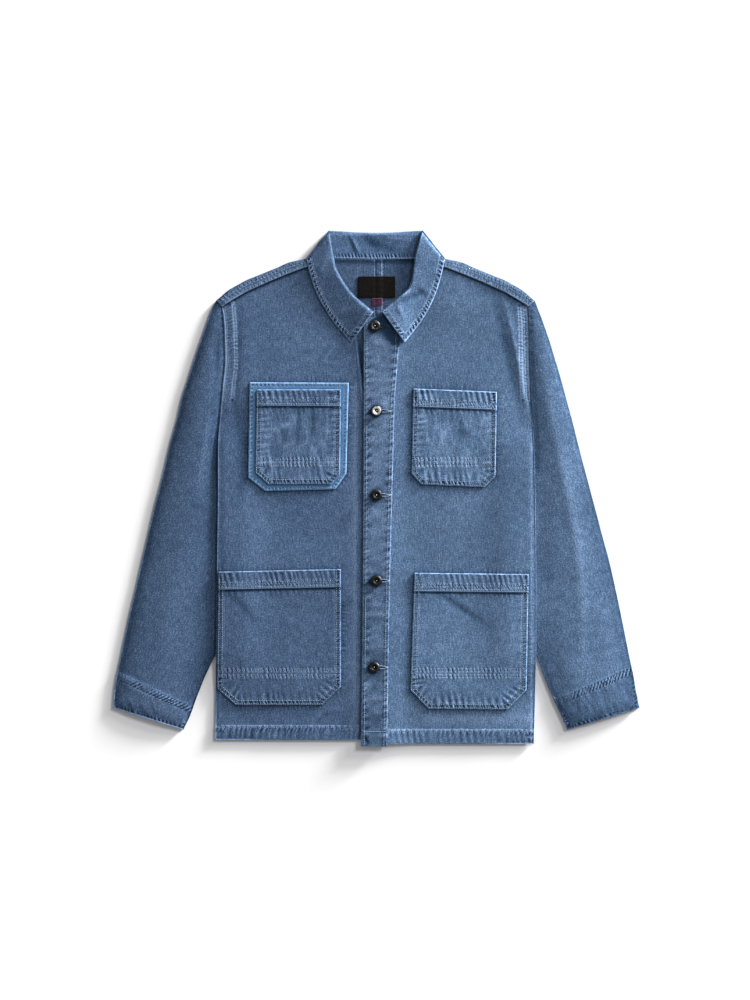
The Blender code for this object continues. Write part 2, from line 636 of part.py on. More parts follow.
def add_buttons(material, collection):
    """Five tack buttons: turned rings with a rivet in the middle, sitting on the placket."""
    for i, (x, y) in enumerate(BUTTON_PLACES, start=1):
        rim = [(x + BUTTON_RADIUS * math.cos(a), y + BUTTON_RADIUS * math.sin(a))
               for a in (math.radians(30 * k) for k in range(12))]
        seat = max(placket_top(*spot) for spot in rim + [(x, y)]) + GAP
        mesh = bpy.data.meshes.new(f"button_{i}")
        bm = bmesh.new()
        verts = [bm.verts.new(Vector((radius, 0.0, height)) * MM)
                 for radius, height in BUTTON_PROFILE]
        for a, b in zip(verts, verts[1:]):
            bm.edges.new((a, b))
        bm.to_mesh(mesh)
        bm.free()
        obj = place_object(f"button_{i}", mesh, material, collection)
        obj.location = Vector((x, y, seat)) * MM
        turn = obj.modifiers.new("turn", "SCREW")
        turn.steps = BUTTON_SEGMENTS
        turn.render_steps = BUTTON_SEGMENTS
        turn.use_merge_vertices = True
        turn.merge_threshold = 0.0001


# ---- sleeves ------------------------------------------------------------------------------------------
def sleeve_plan(side):
    """Rows of places on a flat sleeve, from its inner edge to its outer one."""
    name = SIDE_NAME[side]
    plan = []
    for row in SLEEVE:
        tuck = getattr(row, "tuck_" + name)
        inner = (side_out(side, row.inner_y) + ARMHOLE_SLIT - tuck, row.inner_y)
        outer = (getattr(row, "outer_" + name), row.outer_y)
        rim = (dome_start(side, row, inner[0]) + SLEEVE_RIM - inner[0]) / (outer[0] - inner[0])
        shares = [0.0] + [rim + (1.0 - rim) * share for share in steps(SLEEVE_COLUMNS - 1)]
        plan.append([mix(inner, outer, share) for share in shares])
    return plan


def dome_start(side, row, inner_out):
    """Distance out where the top sleeve starts to rise: its inner edge, or clear of the body."""
    if PRESSED_Y[0] < row.inner_y < PRESSED_Y[1]:
        return max(inner_out, side_out(side, row.inner_y) + PRESSED_MARGIN)
    return inner_out


def sleeve_top_under(side, index, out, y, inner_out, outer_out):
    """Underside of the top sleeve: domed, and pressed flat where the body lies on it."""
    start = dome_start(side, SLEEVE[index], inner_out)
    if start > inner_out:
        start += SLEEVE_RIM
    share = min(max((out - start) / (outer_out - start), 0.0), 1.0)
    dome = 1.0 - abs(2.0 * share - 1.0) ** 2.6
    growth = ramp(index, -1.0, SLEEVE_CAP_ROWS)
    relief = fold_relief(SLEEVE_FOLDS, side, side * out, y) * min(2.0 * dome, 1.0)
    return LAYER + max(SLEEVE_FULLNESS * growth * dome + relief, 0.0)


def add_sleeve(side, material, collection):
    """One sleeve: the under part flat on the ground and the top part lying on it."""
    plan = sleeve_plan(side)
    top, under = [], []
    for i, row in enumerate(plan):
        top.append([(side * out, y, sleeve_top_under(side, i, out, y, row[0][0], row[-1][0]))
                    for out, y in row])
        under.append([(side * out, y, WALL / 2) for out, y in row])
    name = "sleeve_" + SIDE_NAME[side]
    cuff = range(CUFF_FIRST_ROW, len(plan))
    banded_cloth(name + "_top", top, cuff, material, collection)
    cloth(name + "_under", under, material, collection)


# ---- collar -------------------------------------------------------------------------------------------
def front_section(side, station):
    """Points over the front: the stand next to the front, the fall on top of everything."""
    seam, roll, edge = station
    seam_x, roll_x, edge_x = side * seam[0], side * roll[0], side * edge[0]
    stand_low = back_top(seam_x, seam[1]) + GAP + WALL / 2
    stand_high = stand_low + STAND_RISE
    fall_high = max(stand_high + ROLL_DEPTH, clear_of_body(roll_x, roll[1]))
    radius = (fall_high - stand_high) / 2
    points = [(*mix((seam_x, seam[1]), (roll_x, roll[1]), share),
               stand_low + share * STAND_RISE) for share in COLLAR_NECK_SHARE]
    points += roll_points((seam_x, seam[1]), (roll_x, roll[1]), (edge_x, edge[1]), radius,
                          stand_high, fall_high)
    edge_low = clear_of_body(edge_x, edge[1])
    for share in COLLAR_FALL_SHARE:
        x, y = mix((roll_x, roll[1]), (edge_x, edge[1]), share)
        height = max(fall_high + share * (edge_low - fall_high), clear_of_body(x, y))
        points.append((x, y, height))
    return points


def roll_points(seam, roll, edge, radius, stand_height, fall_height):
    """Three points that turn the stand into the fall."""
    def inset(towards):
        length = math.hypot(towards[0] - roll[0], towards[1] - roll[1])
        return mix(roll, towards, radius / length)

    return [(*inset(seam), stand_height), (*roll, (stand_height + fall_height) / 2),
            (*inset(edge), fall_height)]


def back_section(side, station):
    """Points behind the neck: the stand over the fall, which lies flat on the ground."""
    seam, roll, edge = ((side * out, y) for out, y in station)
    fall, stand = WALL / 2, LAYER + WALL / 2
    points = [(*mix(seam, roll, share), stand) for share in COLLAR_NECK_SHARE]
    points += roll_points(seam, roll, edge, (stand - fall) / 2, stand, fall)
    points += [(*mix(roll, edge, share), fall) for share in COLLAR_FALL_SHARE]
    return points


def shoulder_turn(side, over, under):
    """Sections that fold the collar's ring round the end of the shoulder."""
    stand_count = len(COLLAR_NECK_SHARE)
    sections = []
    for angle in TURN_ANGLES:
        swing = math.sin(math.radians(angle)) ** TURN_SQUARENESS
        lean = math.cos(math.radians(angle))
        lean = math.copysign(abs(lean) ** TURN_SQUARENESS, lean)
        section = []
        for i, (top, foot) in enumerate(zip(over, under)):
            middle = mix(top, foot, 0.5)
            share = min(max((i - stand_count + 1) / 3.0, 0.0), 1.0)
            bulge = mix((SHOULDER_TURN["stand"],), (SHOULDER_TURN["fall"],), share)[0] * swing
            section.append(tuple(m + (t - m) * lean + side_shift
                                 for m, t, side_shift in zip(
                                     middle, top, (side * TURN_DIRECTION[0] * bulge,
                                                   TURN_DIRECTION[1] * bulge, 0.0))))
        sections.append(section)
    return sections


def collar_half(side):
    """Sections of half the ring, from its front edge to just short of the centre back."""
    over = [front_section(side, station) for station in COLLAR_FRONT[side]]
    behind = [back_section(side, station) for station in COLLAR_BACK[:-1]]
    return over + shoulder_turn(side, over[-1], behind[0]) + behind


def add_collar(material, collection):
    """The collar as one folded ring from the right point round the neck to the left one."""
    centre = back_section(RIGHT, COLLAR_BACK[-1])
    sections = collar_half(RIGHT) + [centre] + collar_half(LEFT)[::-1]
    cloth("collar", sections, material, collection)


# ---- the jacket ---------------------------------------------------------------------------------------
def clear_scene():
    for obj in list(bpy.data.objects):
        bpy.data.objects.remove(obj, do_unlink=True)


def centre_on_origin(collection):
    """Move everything so that the jacket's box is centred over the origin, resting at z = 0."""
    bpy.context.view_layer.update()
    graph = bpy.context.evaluated_depsgraph_get()
    corners = [obj.matrix_world @ Vector(corner)
               for obj in collection.objects
               for corner in obj.evaluated_get(graph).bound_box]
    lowest = Vector(min(corner[i] for corner in corners) for i in range(3))
    highest = Vector(max(corner[i] for corner in corners) for i in range(3))
    middle = (lowest + highest) / 2
    for obj in collection.objects:
        obj.location -= Vector((middle.x, middle.y, lowest.z))


def build():
    clear_scene()
    collection = bpy.data.collections.new("chore_jacket")
    bpy.context.scene.collection.children.link(collection)
    materials = {name: finish_material(name) for name in FINISHES}
    denim = materials["denim"]
    for side in (RIGHT, LEFT):
        cloth("back_" + SIDE_NAME[side], back_rows(side), denim, collection)
        banded_cloth("front_" + SIDE_NAME[side], front_rows(side), (0, 1), denim, collection)
        add_sleeve(side, denim, collection)
    cloth("placket", placket_rows(), denim, collection, offset=1.0)
    add_collar(denim, collection)
    add_pockets(materials, collection)
    add_labels(materials, collection)
    add_buttons(materials["gunmetal"], collection)
    centre_on_origin(collection)


build()
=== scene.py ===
"""Looks for the washed denim chore jacket, buttoned and laid flat on its back.

Plan positions are in millimetres from the centre back seam, as the jacket is cut: +x is the
wearer's left, +y the collar and +z up. They become the frame's metres when a mesh is made.
Every cloth piece is a thin closed shell on the form of its CAD node.
"""
import json
import math
from collections import namedtuple

import bmesh
import bpy
import numpy as np
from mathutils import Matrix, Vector
from mathutils.bvhtree import BVHTree
from mathutils.geometry import delaunay_2d_cdt
from mathutils.kdtree import KDTree

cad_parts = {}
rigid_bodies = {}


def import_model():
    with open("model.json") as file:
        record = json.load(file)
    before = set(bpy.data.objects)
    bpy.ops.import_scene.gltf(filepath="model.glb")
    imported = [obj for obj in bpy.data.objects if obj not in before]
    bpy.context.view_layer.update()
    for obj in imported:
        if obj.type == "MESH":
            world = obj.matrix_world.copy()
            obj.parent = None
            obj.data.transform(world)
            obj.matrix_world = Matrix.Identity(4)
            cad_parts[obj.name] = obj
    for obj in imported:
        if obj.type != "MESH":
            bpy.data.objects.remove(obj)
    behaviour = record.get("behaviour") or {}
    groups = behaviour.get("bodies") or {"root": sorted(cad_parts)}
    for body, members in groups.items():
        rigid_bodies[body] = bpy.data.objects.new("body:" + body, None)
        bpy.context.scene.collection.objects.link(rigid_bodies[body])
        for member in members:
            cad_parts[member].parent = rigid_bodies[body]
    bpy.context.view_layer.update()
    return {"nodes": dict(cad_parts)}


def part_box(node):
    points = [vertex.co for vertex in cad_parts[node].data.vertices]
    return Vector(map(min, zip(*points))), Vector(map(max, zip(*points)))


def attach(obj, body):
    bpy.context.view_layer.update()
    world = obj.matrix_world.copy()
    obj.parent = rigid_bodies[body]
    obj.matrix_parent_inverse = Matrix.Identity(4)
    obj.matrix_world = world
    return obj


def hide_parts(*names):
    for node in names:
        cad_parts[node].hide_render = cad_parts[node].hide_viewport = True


MM = 0.001
SHIFT = np.array([-1.694, 1.509])       # from the centre back seam to the frame's origin
RIGHT, LEFT = -1, 1
SIDE_NAME = {RIGHT: "right", LEFT: "left"}


# ---- cloth ----
WALL = 1.5
BAND_EXTRA = 0.8            # hems and pocket bands are this much thicker
GAP = 0.3                   # between layers
CLEAR = 0.4 * GAP           # the least that a sheet stays above the pieces below
RIM_SHARE = 0.62            # radius of a rolled edge, as a share of the wall
RIM_INSETS = (0.25, 0.7, 1.5)
EDGE_INSETS = (2.3, 3.1, 3.9, 4.7, 5.5, 6.3, 7.1, 8.0)      # where an edge is stitched
ROW_OFFSETS = (-2.4, -1.6, -0.8, 0.0, 0.8, 1.6, 2.4)        # points beside a row of stitching
ROW_SPACING = 1.3
FINE, COARSE = 2.0, 3.0     # spacing of points on faces that show, and on the rest
HIDDEN = 7.0                # spacing on faces that lie on another layer

HEM_Y = {RIGHT: -378.0, LEFT: -384.0}
HEM_DEPTH = 21.0
HEM_ROW = 19.0              # stitching above the hem's edge
RAY_START = 50.0            # far above or below every piece


# ---- small helpers ----
def ease(share):
    """From 0 to 1, level at both ends."""
    share = np.clip(share, 0.0, 1.0)
    return share * share * (3.0 - 2.0 * share)


def ramp(value, start, end):
    """0 at start and 1 at end, eased between them; start may be the larger of the two."""
    return ease((value - start) / (end - start))


def bump(distance, width):
    """1 at no distance, falling off smoothly over about a width."""
    return np.exp(-(distance / width) ** 2)


def lifts(wave):
    """The part of a wave above its middle."""
    return np.clip(wave, 0.0, 1.0)


def dips(wave):
    """The part of a wave below its middle, as a positive number."""
    return np.clip(-wave, 0.0, 1.0)


def quarter_round(distance, radius):
    """Height of a rounded edge, from 0 at the edge to 1 a radius in from it."""
    inset = np.clip(distance / radius, 0.0, 1.0)
    return np.sqrt(np.clip(1.0 - (1.0 - inset) ** 2, 0.0, 1.0))


def unit(vectors, least=0.0):
    """Vectors made 1 long; least keeps those of no length finite."""
    return vectors / (np.linalg.norm(vectors, axis=1, keepdims=True) + least)


def to_left(vectors):
    """Vectors turned a quarter turn to their left."""
    return np.stack([-vectors[:, 1], vectors[:, 0]], axis=1)


def passed_along(points):
    """Length passed at each point of a broken line."""
    return np.concatenate([[0.0], np.cumsum(np.linalg.norm(np.diff(points, axis=0), axis=1))])


def places_at(stops, passed, points):
    """Places on a broken line at some lengths along it."""
    return np.stack([np.interp(stops, passed, points[:, k]) for k in (0, 1)], axis=1)


def signed(side, points):
    """Points given outward from the middle, put on one side of it."""
    return [(side * out, y) for out, y in points]


def lattice_value(i, j, seed):
    """A fixed random number from -1 to 1 for each place of a lattice."""
    mixed = (i * 374761393 + j * 668265263 + seed * 69069) & 0xFFFFFFFF
    mixed = ((mixed ^ (mixed >> 13)) * 1274126177) & 0xFFFFFFFF
    return ((mixed ^ (mixed >> 16)) & 0xFFFF) / 32767.5 - 1.0


def noise(x, y, scale, seed):
    """Smooth noise from -1 to 1 that changes over about a scale."""
    u, v = np.asarray(x) / scale, np.asarray(y) / scale
    i, j = np.floor(u).astype(np.int64), np.floor(v).astype(np.int64)
    across, up = ease(u - i), ease(v - j)
    low = lattice_value(i, j, seed) * (1 - across) + lattice_value(i + 1, j, seed) * across
    high = (lattice_value(i, j + 1, seed) * (1 - across)
            + lattice_value(i + 1, j + 1, seed) * across)
    return low * (1 - up) + high * up


def puckers(along, period, seed):
    """Uneven waves along a seam, from -1 in a dip to 1 on a ridge."""
    flat = np.zeros_like(along)
    drift = 0.45 * noise(along, flat, 2.2 * period, seed)
    size = 0.62 + 0.55 * noise(along, flat, 2.6 * period, seed + 1)
    return size * np.sin(2.0 * np.pi * (along / period + drift))


def near_path(x, y, points):
    """Distance to a broken line, positive on its left, and the length passed along it."""
    best = np.full(len(x), np.inf)
    aside, along = np.zeros(len(x)), np.zeros(len(x))
    passed = 0.0
    for (ax, ay), (bx, by) in zip(points, points[1:]):
        length = math.hypot(bx - ax, by - ay)
        tx, ty = (bx - ax) / length, (by - ay) / length
        run = np.clip((x - ax) * tx + (y - ay) * ty, 0.0, length)
        dx, dy = x - ax - run * tx, y - ay - run * ty
        gap = np.hypot(dx, dy)
        closer = gap < best
        best = np.where(closer, gap, best)
        aside = np.where(closer, np.copysign(gap, tx * dy - ty * dx), aside)
        along = np.where(closer, passed + run, along)
        passed += length
    return aside, along


# ---- reading the frame's solids ----
def node_triangles(node):
    """Corners (n, 3, 3) of a CAD node's triangles, in plan millimetres."""
    mesh = frame["nodes"][node].data
    mesh.calc_loop_triangles()
    points = np.empty(len(mesh.vertices) * 3)
    mesh.vertices.foreach_get("co", points)
    points = points.reshape(-1, 3) / MM
    points[:, :2] -= SHIFT
    faces = np.empty(len(mesh.loop_triangles) * 3, dtype=np.int64)
    mesh.loop_triangles.foreach_get("vertices", faces)
    return points[faces.reshape(-1, 3)]


def tree_of(triangles):
    """A ray-casting tree of triangles given by their corners."""
    points = triangles.reshape(-1, 3)
    faces = np.arange(len(points)).reshape(-1, 3)
    return BVHTree.FromPolygons(points.tolist(), faces.tolist())


def surface_height(tree, x, y, upward=False, nearest=False):
    """Height at which a vertical ray meets a surface; off its edge None, or its nearest point's."""
    way = 1.0 if upward else -1.0
    start = Vector((x, y, -way * RAY_START))
    hit = tree.ray_cast(start, Vector((0.0, 0.0, way)))[0]
    if hit is None and nearest:
        hit = tree.find_nearest(start)[0]
    return None if hit is None else hit.z


def cast(tree, plan, upward):
    """Heights of a surface at each place, or of its nearest point off its edge."""
    return np.array([surface_height(tree, x, y, upward, True) for x, y in plan.tolist()])


def highest(shells, plan):
    """Highest upper face under each place, or minus infinity where there is none."""
    heights = np.full(len(plan), -np.inf)
    for shell in shells:
        for i, (x, y) in enumerate(plan.tolist()):
            height = surface_height(shell.top, x, y)
            if height is not None:
                heights[i] = max(heights[i], height)
    return heights


def facing_loops(node, up):
    """Plan outlines of a node's faces that look up, or down, largest first."""
    triangles = node_triangles(node)
    normals = np.cross(triangles[:, 1] - triangles[:, 0], triangles[:, 2] - triangles[:, 0])
    normals /= np.linalg.norm(normals, axis=1, keepdims=True) + 1e-12
    chosen = triangles[normals[:, 2] > 0.3] if up else triangles[normals[:, 2] < -0.3][:, ::-1]
    keys = [[tuple(corner) for corner in triangle] for triangle in np.round(chosen, 2)]
    follows = {}
    for a, b, c in keys:
        for edge in ((a, b), (b, c), (c, a)):
            follows[edge] = follows.get(edge, 0) + 1
    edges = {a: b for a, b in follows if (b, a) not in follows}
    loops = []
    while edges:
        start, place = edges.popitem()
        loop = [start]
        while place != start and place in edges:
            loop.append(place)
            place = edges.pop(place)
        loops.append(np.array(loop)[:, :2])
    return sorted(loops, key=lambda loop: -abs(loop_area(loop)))


def loop_area(loop):
    x, y = loop.T
    return 0.5 * float(np.sum(x * np.roll(y, -1) - np.roll(x, -1) * y))


def chords(loop):
    """From the point before each point of a closed loop to the point after it."""
    return np.roll(loop, -1, axis=0) - np.roll(loop, 1, axis=0)


class Outline:
    """A piece's outline in plan: evenly spaced points, rounded between its corners."""

    SAMPLE = 0.5

    def __init__(self, loop, spacing=FINE, corner=28.0, rounding=30):
        if loop_area(loop) < 0.0:
            loop = loop[::-1]
        loop = loop[np.linalg.norm(np.roll(loop, -1, axis=0) - loop, axis=1) > 0.05]
        self.points = self.even(loop, spacing, corner, rounding)
        self.fine = self.even(self.points, self.SAMPLE, 180.0, 0)
        self.inward = to_left(unit(chords(self.fine), 1e-9))
        self.passed = passed_along(self.fine)
        self.tree = KDTree(len(self.fine))
        for i, (x, y) in enumerate(self.fine.tolist()):
            self.tree.insert((x, y, 0.0), i)
        self.tree.balance()

    @staticmethod
    def even(loop, spacing, corner, rounding):
        """Resample a closed loop between its corners, and smooth it there."""
        before, after = loop - np.roll(loop, 1, axis=0), np.roll(loop, -1, axis=0) - loop
        turn = np.degrees(np.arctan2(before[:, 0] * after[:, 1] - before[:, 1] * after[:, 0],
                                     np.sum(before * after, axis=1)))
        corners = np.flatnonzero(np.abs(turn) > corner)
        if not len(corners):
            corners = np.array([0])
        made = []
        for i, start in enumerate(corners):
            end = corners[(i + 1) % len(corners)]
            count = (end - start - 1) % len(loop) + 1
            run = loop[(start + np.arange(count + 1)) % len(loop)]
            length = passed_along(run)
            stops = np.linspace(0.0, length[-1], max(2, round(length[-1] / spacing) + 1))
            run = places_at(stops, length, run)
            for _ in range(rounding):
                run[1:-1] = 0.5 * run[1:-1] + 0.25 * (run[:-2] + run[2:])
            made.append(run[:-1])
        return np.vstack(made)

    def depth(self, plan):
        """Distance in from the outline, negative outside it, and the length passed along it."""
        nearest = [self.tree.find((x, y, 0.0))[1] for x, y in plan.tolist()]
        offset = plan - self.fine[nearest]
        side = np.sum(offset * self.inward[nearest], axis=1)
        gap = np.linalg.norm(offset, axis=1)
        depth = np.where(gap < 2 * self.SAMPLE, side, np.copysign(gap, side))
        return depth, self.passed[nearest]

    def fill(self, spacing, stitched=False, rows=()):
        """Points all over the inside: the outline, rims in from it, rows, and an even field."""
        insets = RIM_INSETS + (EDGE_INSETS if stitched else ())
        normal = to_left(unit(chords(self.points)))
        made = [self.points]
        for inset in insets:
            ring = self.points + inset * normal
            made.append(ring[self.depth(ring)[0] > 0.93 * inset])
        first = insets[-1] + 0.55 * spacing
        field = self.inside(even_field(self.points, spacing), first)
        for row in rows:
            gap, _ = near_path(*field.T, row)
            field = field[np.abs(gap) > ROW_OFFSETS[-1] + 0.5 * spacing]
            for offset in ROW_OFFSETS:
                beside, _ = spaced(inset_path(row, offset), ROW_SPACING)
                made.append(self.inside(beside, insets[-1] + 0.5))
        return np.vstack([*made, field])

    def inside(self, plan, inset):
        return plan[self.depth(plan)[0] > inset]


def even_field(around, spacing):
    """A triangular pattern of points over the box of an outline."""
    low, high = around.min(axis=0), around.max(axis=0)
    rise = spacing * math.sqrt(0.75)
    field = []
    for j, y in enumerate(np.arange(low[1] + rise, high[1], rise)):
        x = np.arange(low[0] + (j % 2) * spacing / 2, high[0], spacing)
        field.append(np.stack([x, np.full(len(x), y)], axis=1))
    return np.vstack(field)


def triangulated(points, rim_count):
    """Triangles over plan points; the first ones are the outline, in order."""
    ring = [(i, (i + 1) % rim_count) for i in range(rim_count)]
    made, _, faces, sources, _, _ = delaunay_2d_cdt([Vector(p) for p in points.tolist()], ring,
                                                    [], 1, 1e-5)
    plan = np.array([tuple(p) for p in made])
    position = {source: i for i, found in enumerate(sources) for source in found}
    rim = np.array([position[i] for i in range(rim_count)])
    return plan, np.array(faces), rim


def relaxed(values, faces, passes):
    """Values evened out over a triangle mesh."""
    edges = np.vstack([faces[:, [0, 1]], faces[:, [1, 2]], faces[:, [2, 0]]])
    a, b = edges.T
    count = len(values)
    share = np.bincount(a, minlength=count) + np.bincount(b, minlength=count)
    for _ in range(passes):
        total = (np.bincount(a, values[b], count) + np.bincount(b, values[a], count))
        values = 0.5 * values + 0.5 * total / share
    return values


# ---- detail of the cloth ----
class Detail:
    """Height, wear and shade that small features add over a face of cloth; besides real wear
    and kept dye, the wear and shade carry painted highlight and painted shade.
    """

    def __init__(self, plan, depth, along):
        self.x, self.y = plan.T
        self.depth, self.along = depth, along
        self.height = np.zeros(len(plan))
        self.wear = np.zeros(len(plan))
        self.shade = np.zeros(len(plan))

    def near(self, points):
        """Distance to a broken line, positive on its left, and the length passed along it."""
        return near_path(self.x, self.y, points)

    def waves(self, beat, height, wear=0.0, shade=0.0, zone=1.0):
        """Waves whose ridges are worn and whose dips kept their dye."""
        self.height += height * zone * beat
        self.wear += wear * zone * lifts(beat)
        self.shade += shade * zone * dips(beat)

    def soften(self, amount, seed):
        """Slow swells and fine slack all over, fading at the edge."""
        fade = ramp(self.depth, 2.0, 30.0)
        swell = noise(self.x, self.y, 62.0, seed) + 0.5 * noise(self.x, self.y, 27.0, seed + 1)
        self.height += amount * fade * swell
        self.height += 0.03 * noise(self.x, self.y, 9.0, seed + 2)

    def crumple(self, amount, seed):
        """Fine worn wrinkles all over, longer up the cloth than across it; their ridges are made
        lighter, partly as wear and partly as painted highlight, and their troughs darker as painted
        shade.
        """
        fade = amount * ramp(self.depth, 5.0, 12.0)
        for turn, scale, part in ((0.10, 6.5, 1.0), (-0.12, 9.0, 0.7)):
            wave = noise(self.x + turn * self.y, 0.25 * self.y, scale, seed + round(scale))
            ridge = part * fade * np.clip(1.0 - 3.2 * np.abs(wave), 0.0, 1.0)
            self.height += 0.45 * ridge
            # lighter ridges: partly wear, partly painted highlight
            self.wear += 0.50 * ridge
            # darker troughs: painted shade
            self.shade += 0.45 * part * fade * np.clip(-wave - 0.15, 0.0, 1.0)

    def crease(self, points, height, width, mark=0.3):
        """A soft ridge, or a trough where the height is negative, that fades at its ends. Its mark
        makes a ridge lighter, partly as wear and partly as painted highlight, and paints shade in a
        trough.
        """
        gap, along = self.near(points)
        share = along / sum(math.dist(a, b) for a, b in zip(points, points[1:]))
        reach = np.sin(np.pi * (0.06 + 0.88 * share)) * bump(gap, width)
        self.height += height * reach
        if height > 0.0:
            # a lighter line along the ridge: partly wear, partly painted highlight
            self.wear += 0.6 * mark * bump(gap, 0.6 * width) * reach
        else:
            # painted shade in the trough
            self.shade += mark * reach

    def creases(self, name):
        """The creases of a piece, from their table."""
        for crease in CREASES[name]:
            self.crease(*crease)

    def edge(self, period, seed, reach=6.5, strength=1.0, where=1.0, slant=0.35):
        """A worn edge, with a row of puckers between it and its stitching."""
        self.gathered(self.depth, self.along, period, seed, reach, strength * where, slant)
        self.fray(self.depth, self.along, 0.8 * where)

    def fray(self, gap, along, amount, width=1.1):
        """Dye worn off along an edge, more in some places than in others."""
        uneven = 0.72 + 0.45 * noise(along, np.zeros_like(along), 5.5, 7)
        self.wear += amount * uneven * bump(gap, width)

    def gathered(self, gap, along, period, seed, reach, strength, slant=0.35):
        """Puckers that reach in from a line, deepest beside its stitching."""
        beat = puckers(along + slant * gap, period, seed)
        zone = ramp(gap, 0.7, 2.2) * ramp(gap, reach + 1.5, reach - 1.0) * strength
        dip, lift = dips(beat), lifts(beat)
        size = 0.07 * period
        self.height += size * zone * (0.7 * lift - dip)
        self.wear += 0.60 * zone * lift
        self.shade += 1.50 * zone * dip

    def seam(self, points, period, seed, width=5.0, strength=1.0, groove=0.22, slant=0.0):
        """A line of stitching through the cloth, with puckers across it and worn ridges."""
        gap, along = self.near(points)
        beat = puckers(along + slant * gap, period, seed)
        gap = np.abs(gap)
        slack = bump(gap, width) * strength
        self.height += 0.05 * period * slack * beat - groove * bump(gap, 0.9)
        self.wear += 0.22 * slack * lifts(beat) + 0.35 * strength * bump(gap - 1.9, 0.8)
        self.shade += 0.75 * slack * dips(beat) + 0.35 * strength * bump(gap, 0.8)

    def sink(self, gap, width=0.8):
        """The groove that a row of stitching pulls, and the dye that it keeps."""
        groove = bump(gap, width)
        self.height -= 0.2 * groove
        self.shade += 0.35 * groove

    def roll_off(self, reach, height, where=1.0):
        """The cloth's slow fall towards a folded or sewn edge."""
        share = 1.0 - np.clip(self.depth / reach, 0.0, 1.0)
        self.height -= height * where * share * share

    def darken(self, gap, width, amount):
        """Darker cloth along a line; most callers use it as painted shade beside raised edges, in
        hollows and on faces turned from the light.
        """
        self.shade += amount * bump(gap, width)


# ---- making pieces ----
def world(points):
    """Plan millimetres to the frame's metres."""
    moved = np.array(points, dtype=float)
    moved[:, :2] += SHIFT
    return moved * MM


def mesh_piece(name, points, faces, material, finish=None, grain=0.0):
    """A mesh object from plan points; finish is (wear, shade) for each point."""
    mesh = bpy.data.meshes.new(name)
    corners = world(points)
    mesh.vertices.add(len(corners))
    mesh.vertices.foreach_set("co", corners.ravel())
    faces = np.asarray(faces)
    mesh.loops.add(faces.size)
    mesh.loops.foreach_set("vertex_index", faces.ravel())
    mesh.polygons.add(len(faces))
    mesh.polygons.foreach_set("loop_start", np.arange(0, faces.size, faces.shape[1]))
    mesh.update(calc_edges=True)
    mesh.shade_smooth()
    if finish is not None:
        layer = mesh.color_attributes.new("finish", "FLOAT_COLOR", "POINT")
        wear, shade = (np.clip(values, 0.0, 1.0) for values in finish)
        layer.data.foreach_set("color", np.stack(
            [wear, shade, np.zeros(len(wear)), np.ones(len(wear))], axis=1).ravel())
    turn = math.radians(grain)
    across = corners[:, 0] * math.cos(turn) - corners[:, 1] * math.sin(turn)
    up = corners[:, 0] * math.sin(turn) + corners[:, 1] * math.cos(turn)
    uv = mesh.uv_layers.new(name="grain")
    uv.data.foreach_set("uv", np.stack([across, up], axis=1)[faces.ravel()].ravel())
    mesh.materials.append(materials[material])
    obj = bpy.data.objects.new(name, mesh)
    bpy.context.scene.collection.objects.link(obj)
    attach(obj, "root")
    return obj


Shell = namedtuple("Shell", "object top bottom")


def meshed(outline, points):
    """Triangles over an outline from points in it, and the empty detail of that face."""
    plan, faces, rim = triangulated(points, len(outline.points))
    depth, along = outline.depth(plan)
    depth = np.maximum(depth, 0.0)
    depth[rim] = 0.0
    return plan, faces, rim, Detail(plan, depth, along)


def lay_sheet(name, node, outline, spacing, material, carriers=(),
              rest_height=None, detail=None, wall=WALL, extra=None,
              under_spacing=HIDDEN, under_detail=None, smooth=120, grain=0.0, drop=None,
              stitched=False, rows=()):
    """A thin closed shell of cloth over an outline, which stands for a CAD node.

    It lies on the shells that carry it, or else where the node's underside is, unless
    rest_height(plan) gives that height; either is then evened out. detail(Detail) and
    under_detail(Detail) add to the upper and lower face, extra(plan) thickens the cloth, and
    drop(plan) carries the rim down a fold. A stitched edge and rows of stitching get points of
    their own.
    """
    plan, faces, rim, upper = meshed(outline, outline.fill(spacing, stitched, rows))
    rest_height = rest_height or resting_on(node, carriers)
    rest = relaxed(rest_height(plan), faces, smooth)
    if carriers:
        rest = np.maximum(rest, highest(carriers, plan) + CLEAR)
    thick = wall if extra is None else wall + extra(plan)
    if detail is not None:
        detail(upper)
    radius = RIM_SHARE * wall
    top = rest + thick * (0.5 + 0.5 * quarter_round(upper.depth, radius)) + (
        upper.height * ramp(upper.depth, 0.0, 1.5))
    if drop is not None:
        top = top - drop(plan)

    low_plan, low_faces, low_rim, lower = meshed(outline, outline.fill(under_spacing))
    low = cast(tree_of(np.column_stack([plan, rest])[faces]), low_plan, False)
    low = low + wall * (0.5 - 0.5 * quarter_round(lower.depth, radius))
    if under_detail is not None:
        under_detail(lower)
        low = np.maximum(low - lower.height * ramp(lower.depth, 0.0, 1.5), 0.0)

    upper_points, lower_points = np.column_stack([plan, top]), np.column_stack([low_plan, low])
    joined = np.arange(len(plan), len(plan) + len(low_plan))
    joined[low_rim] = rim
    all_faces = np.vstack([faces, joined[low_faces[:, ::-1]]])
    used, renumbered = np.unique(all_faces, return_inverse=True)
    wear = np.concatenate([upper.wear, lower.wear])[used]
    shade = np.concatenate([upper.shade, lower.shade])[used]
    obj = mesh_piece(name, np.vstack([upper_points, lower_points])[used],
                     renumbered.reshape(all_faces.shape), material, (wear, shade), grain)
    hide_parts(node)
    return Shell(obj, tree_of(upper_points[faces]), tree_of(lower_points[low_faces]))


def resting_on(node, carriers=()):
    """Rest height on the shells below, or where the CAD node's own underside is."""
    solid = tree_of(node_triangles(node))

    def height(plan):
        under = highest(carriers, plan) + GAP
        return np.where(np.isfinite(under), under, cast(solid, plan, True))
    return height


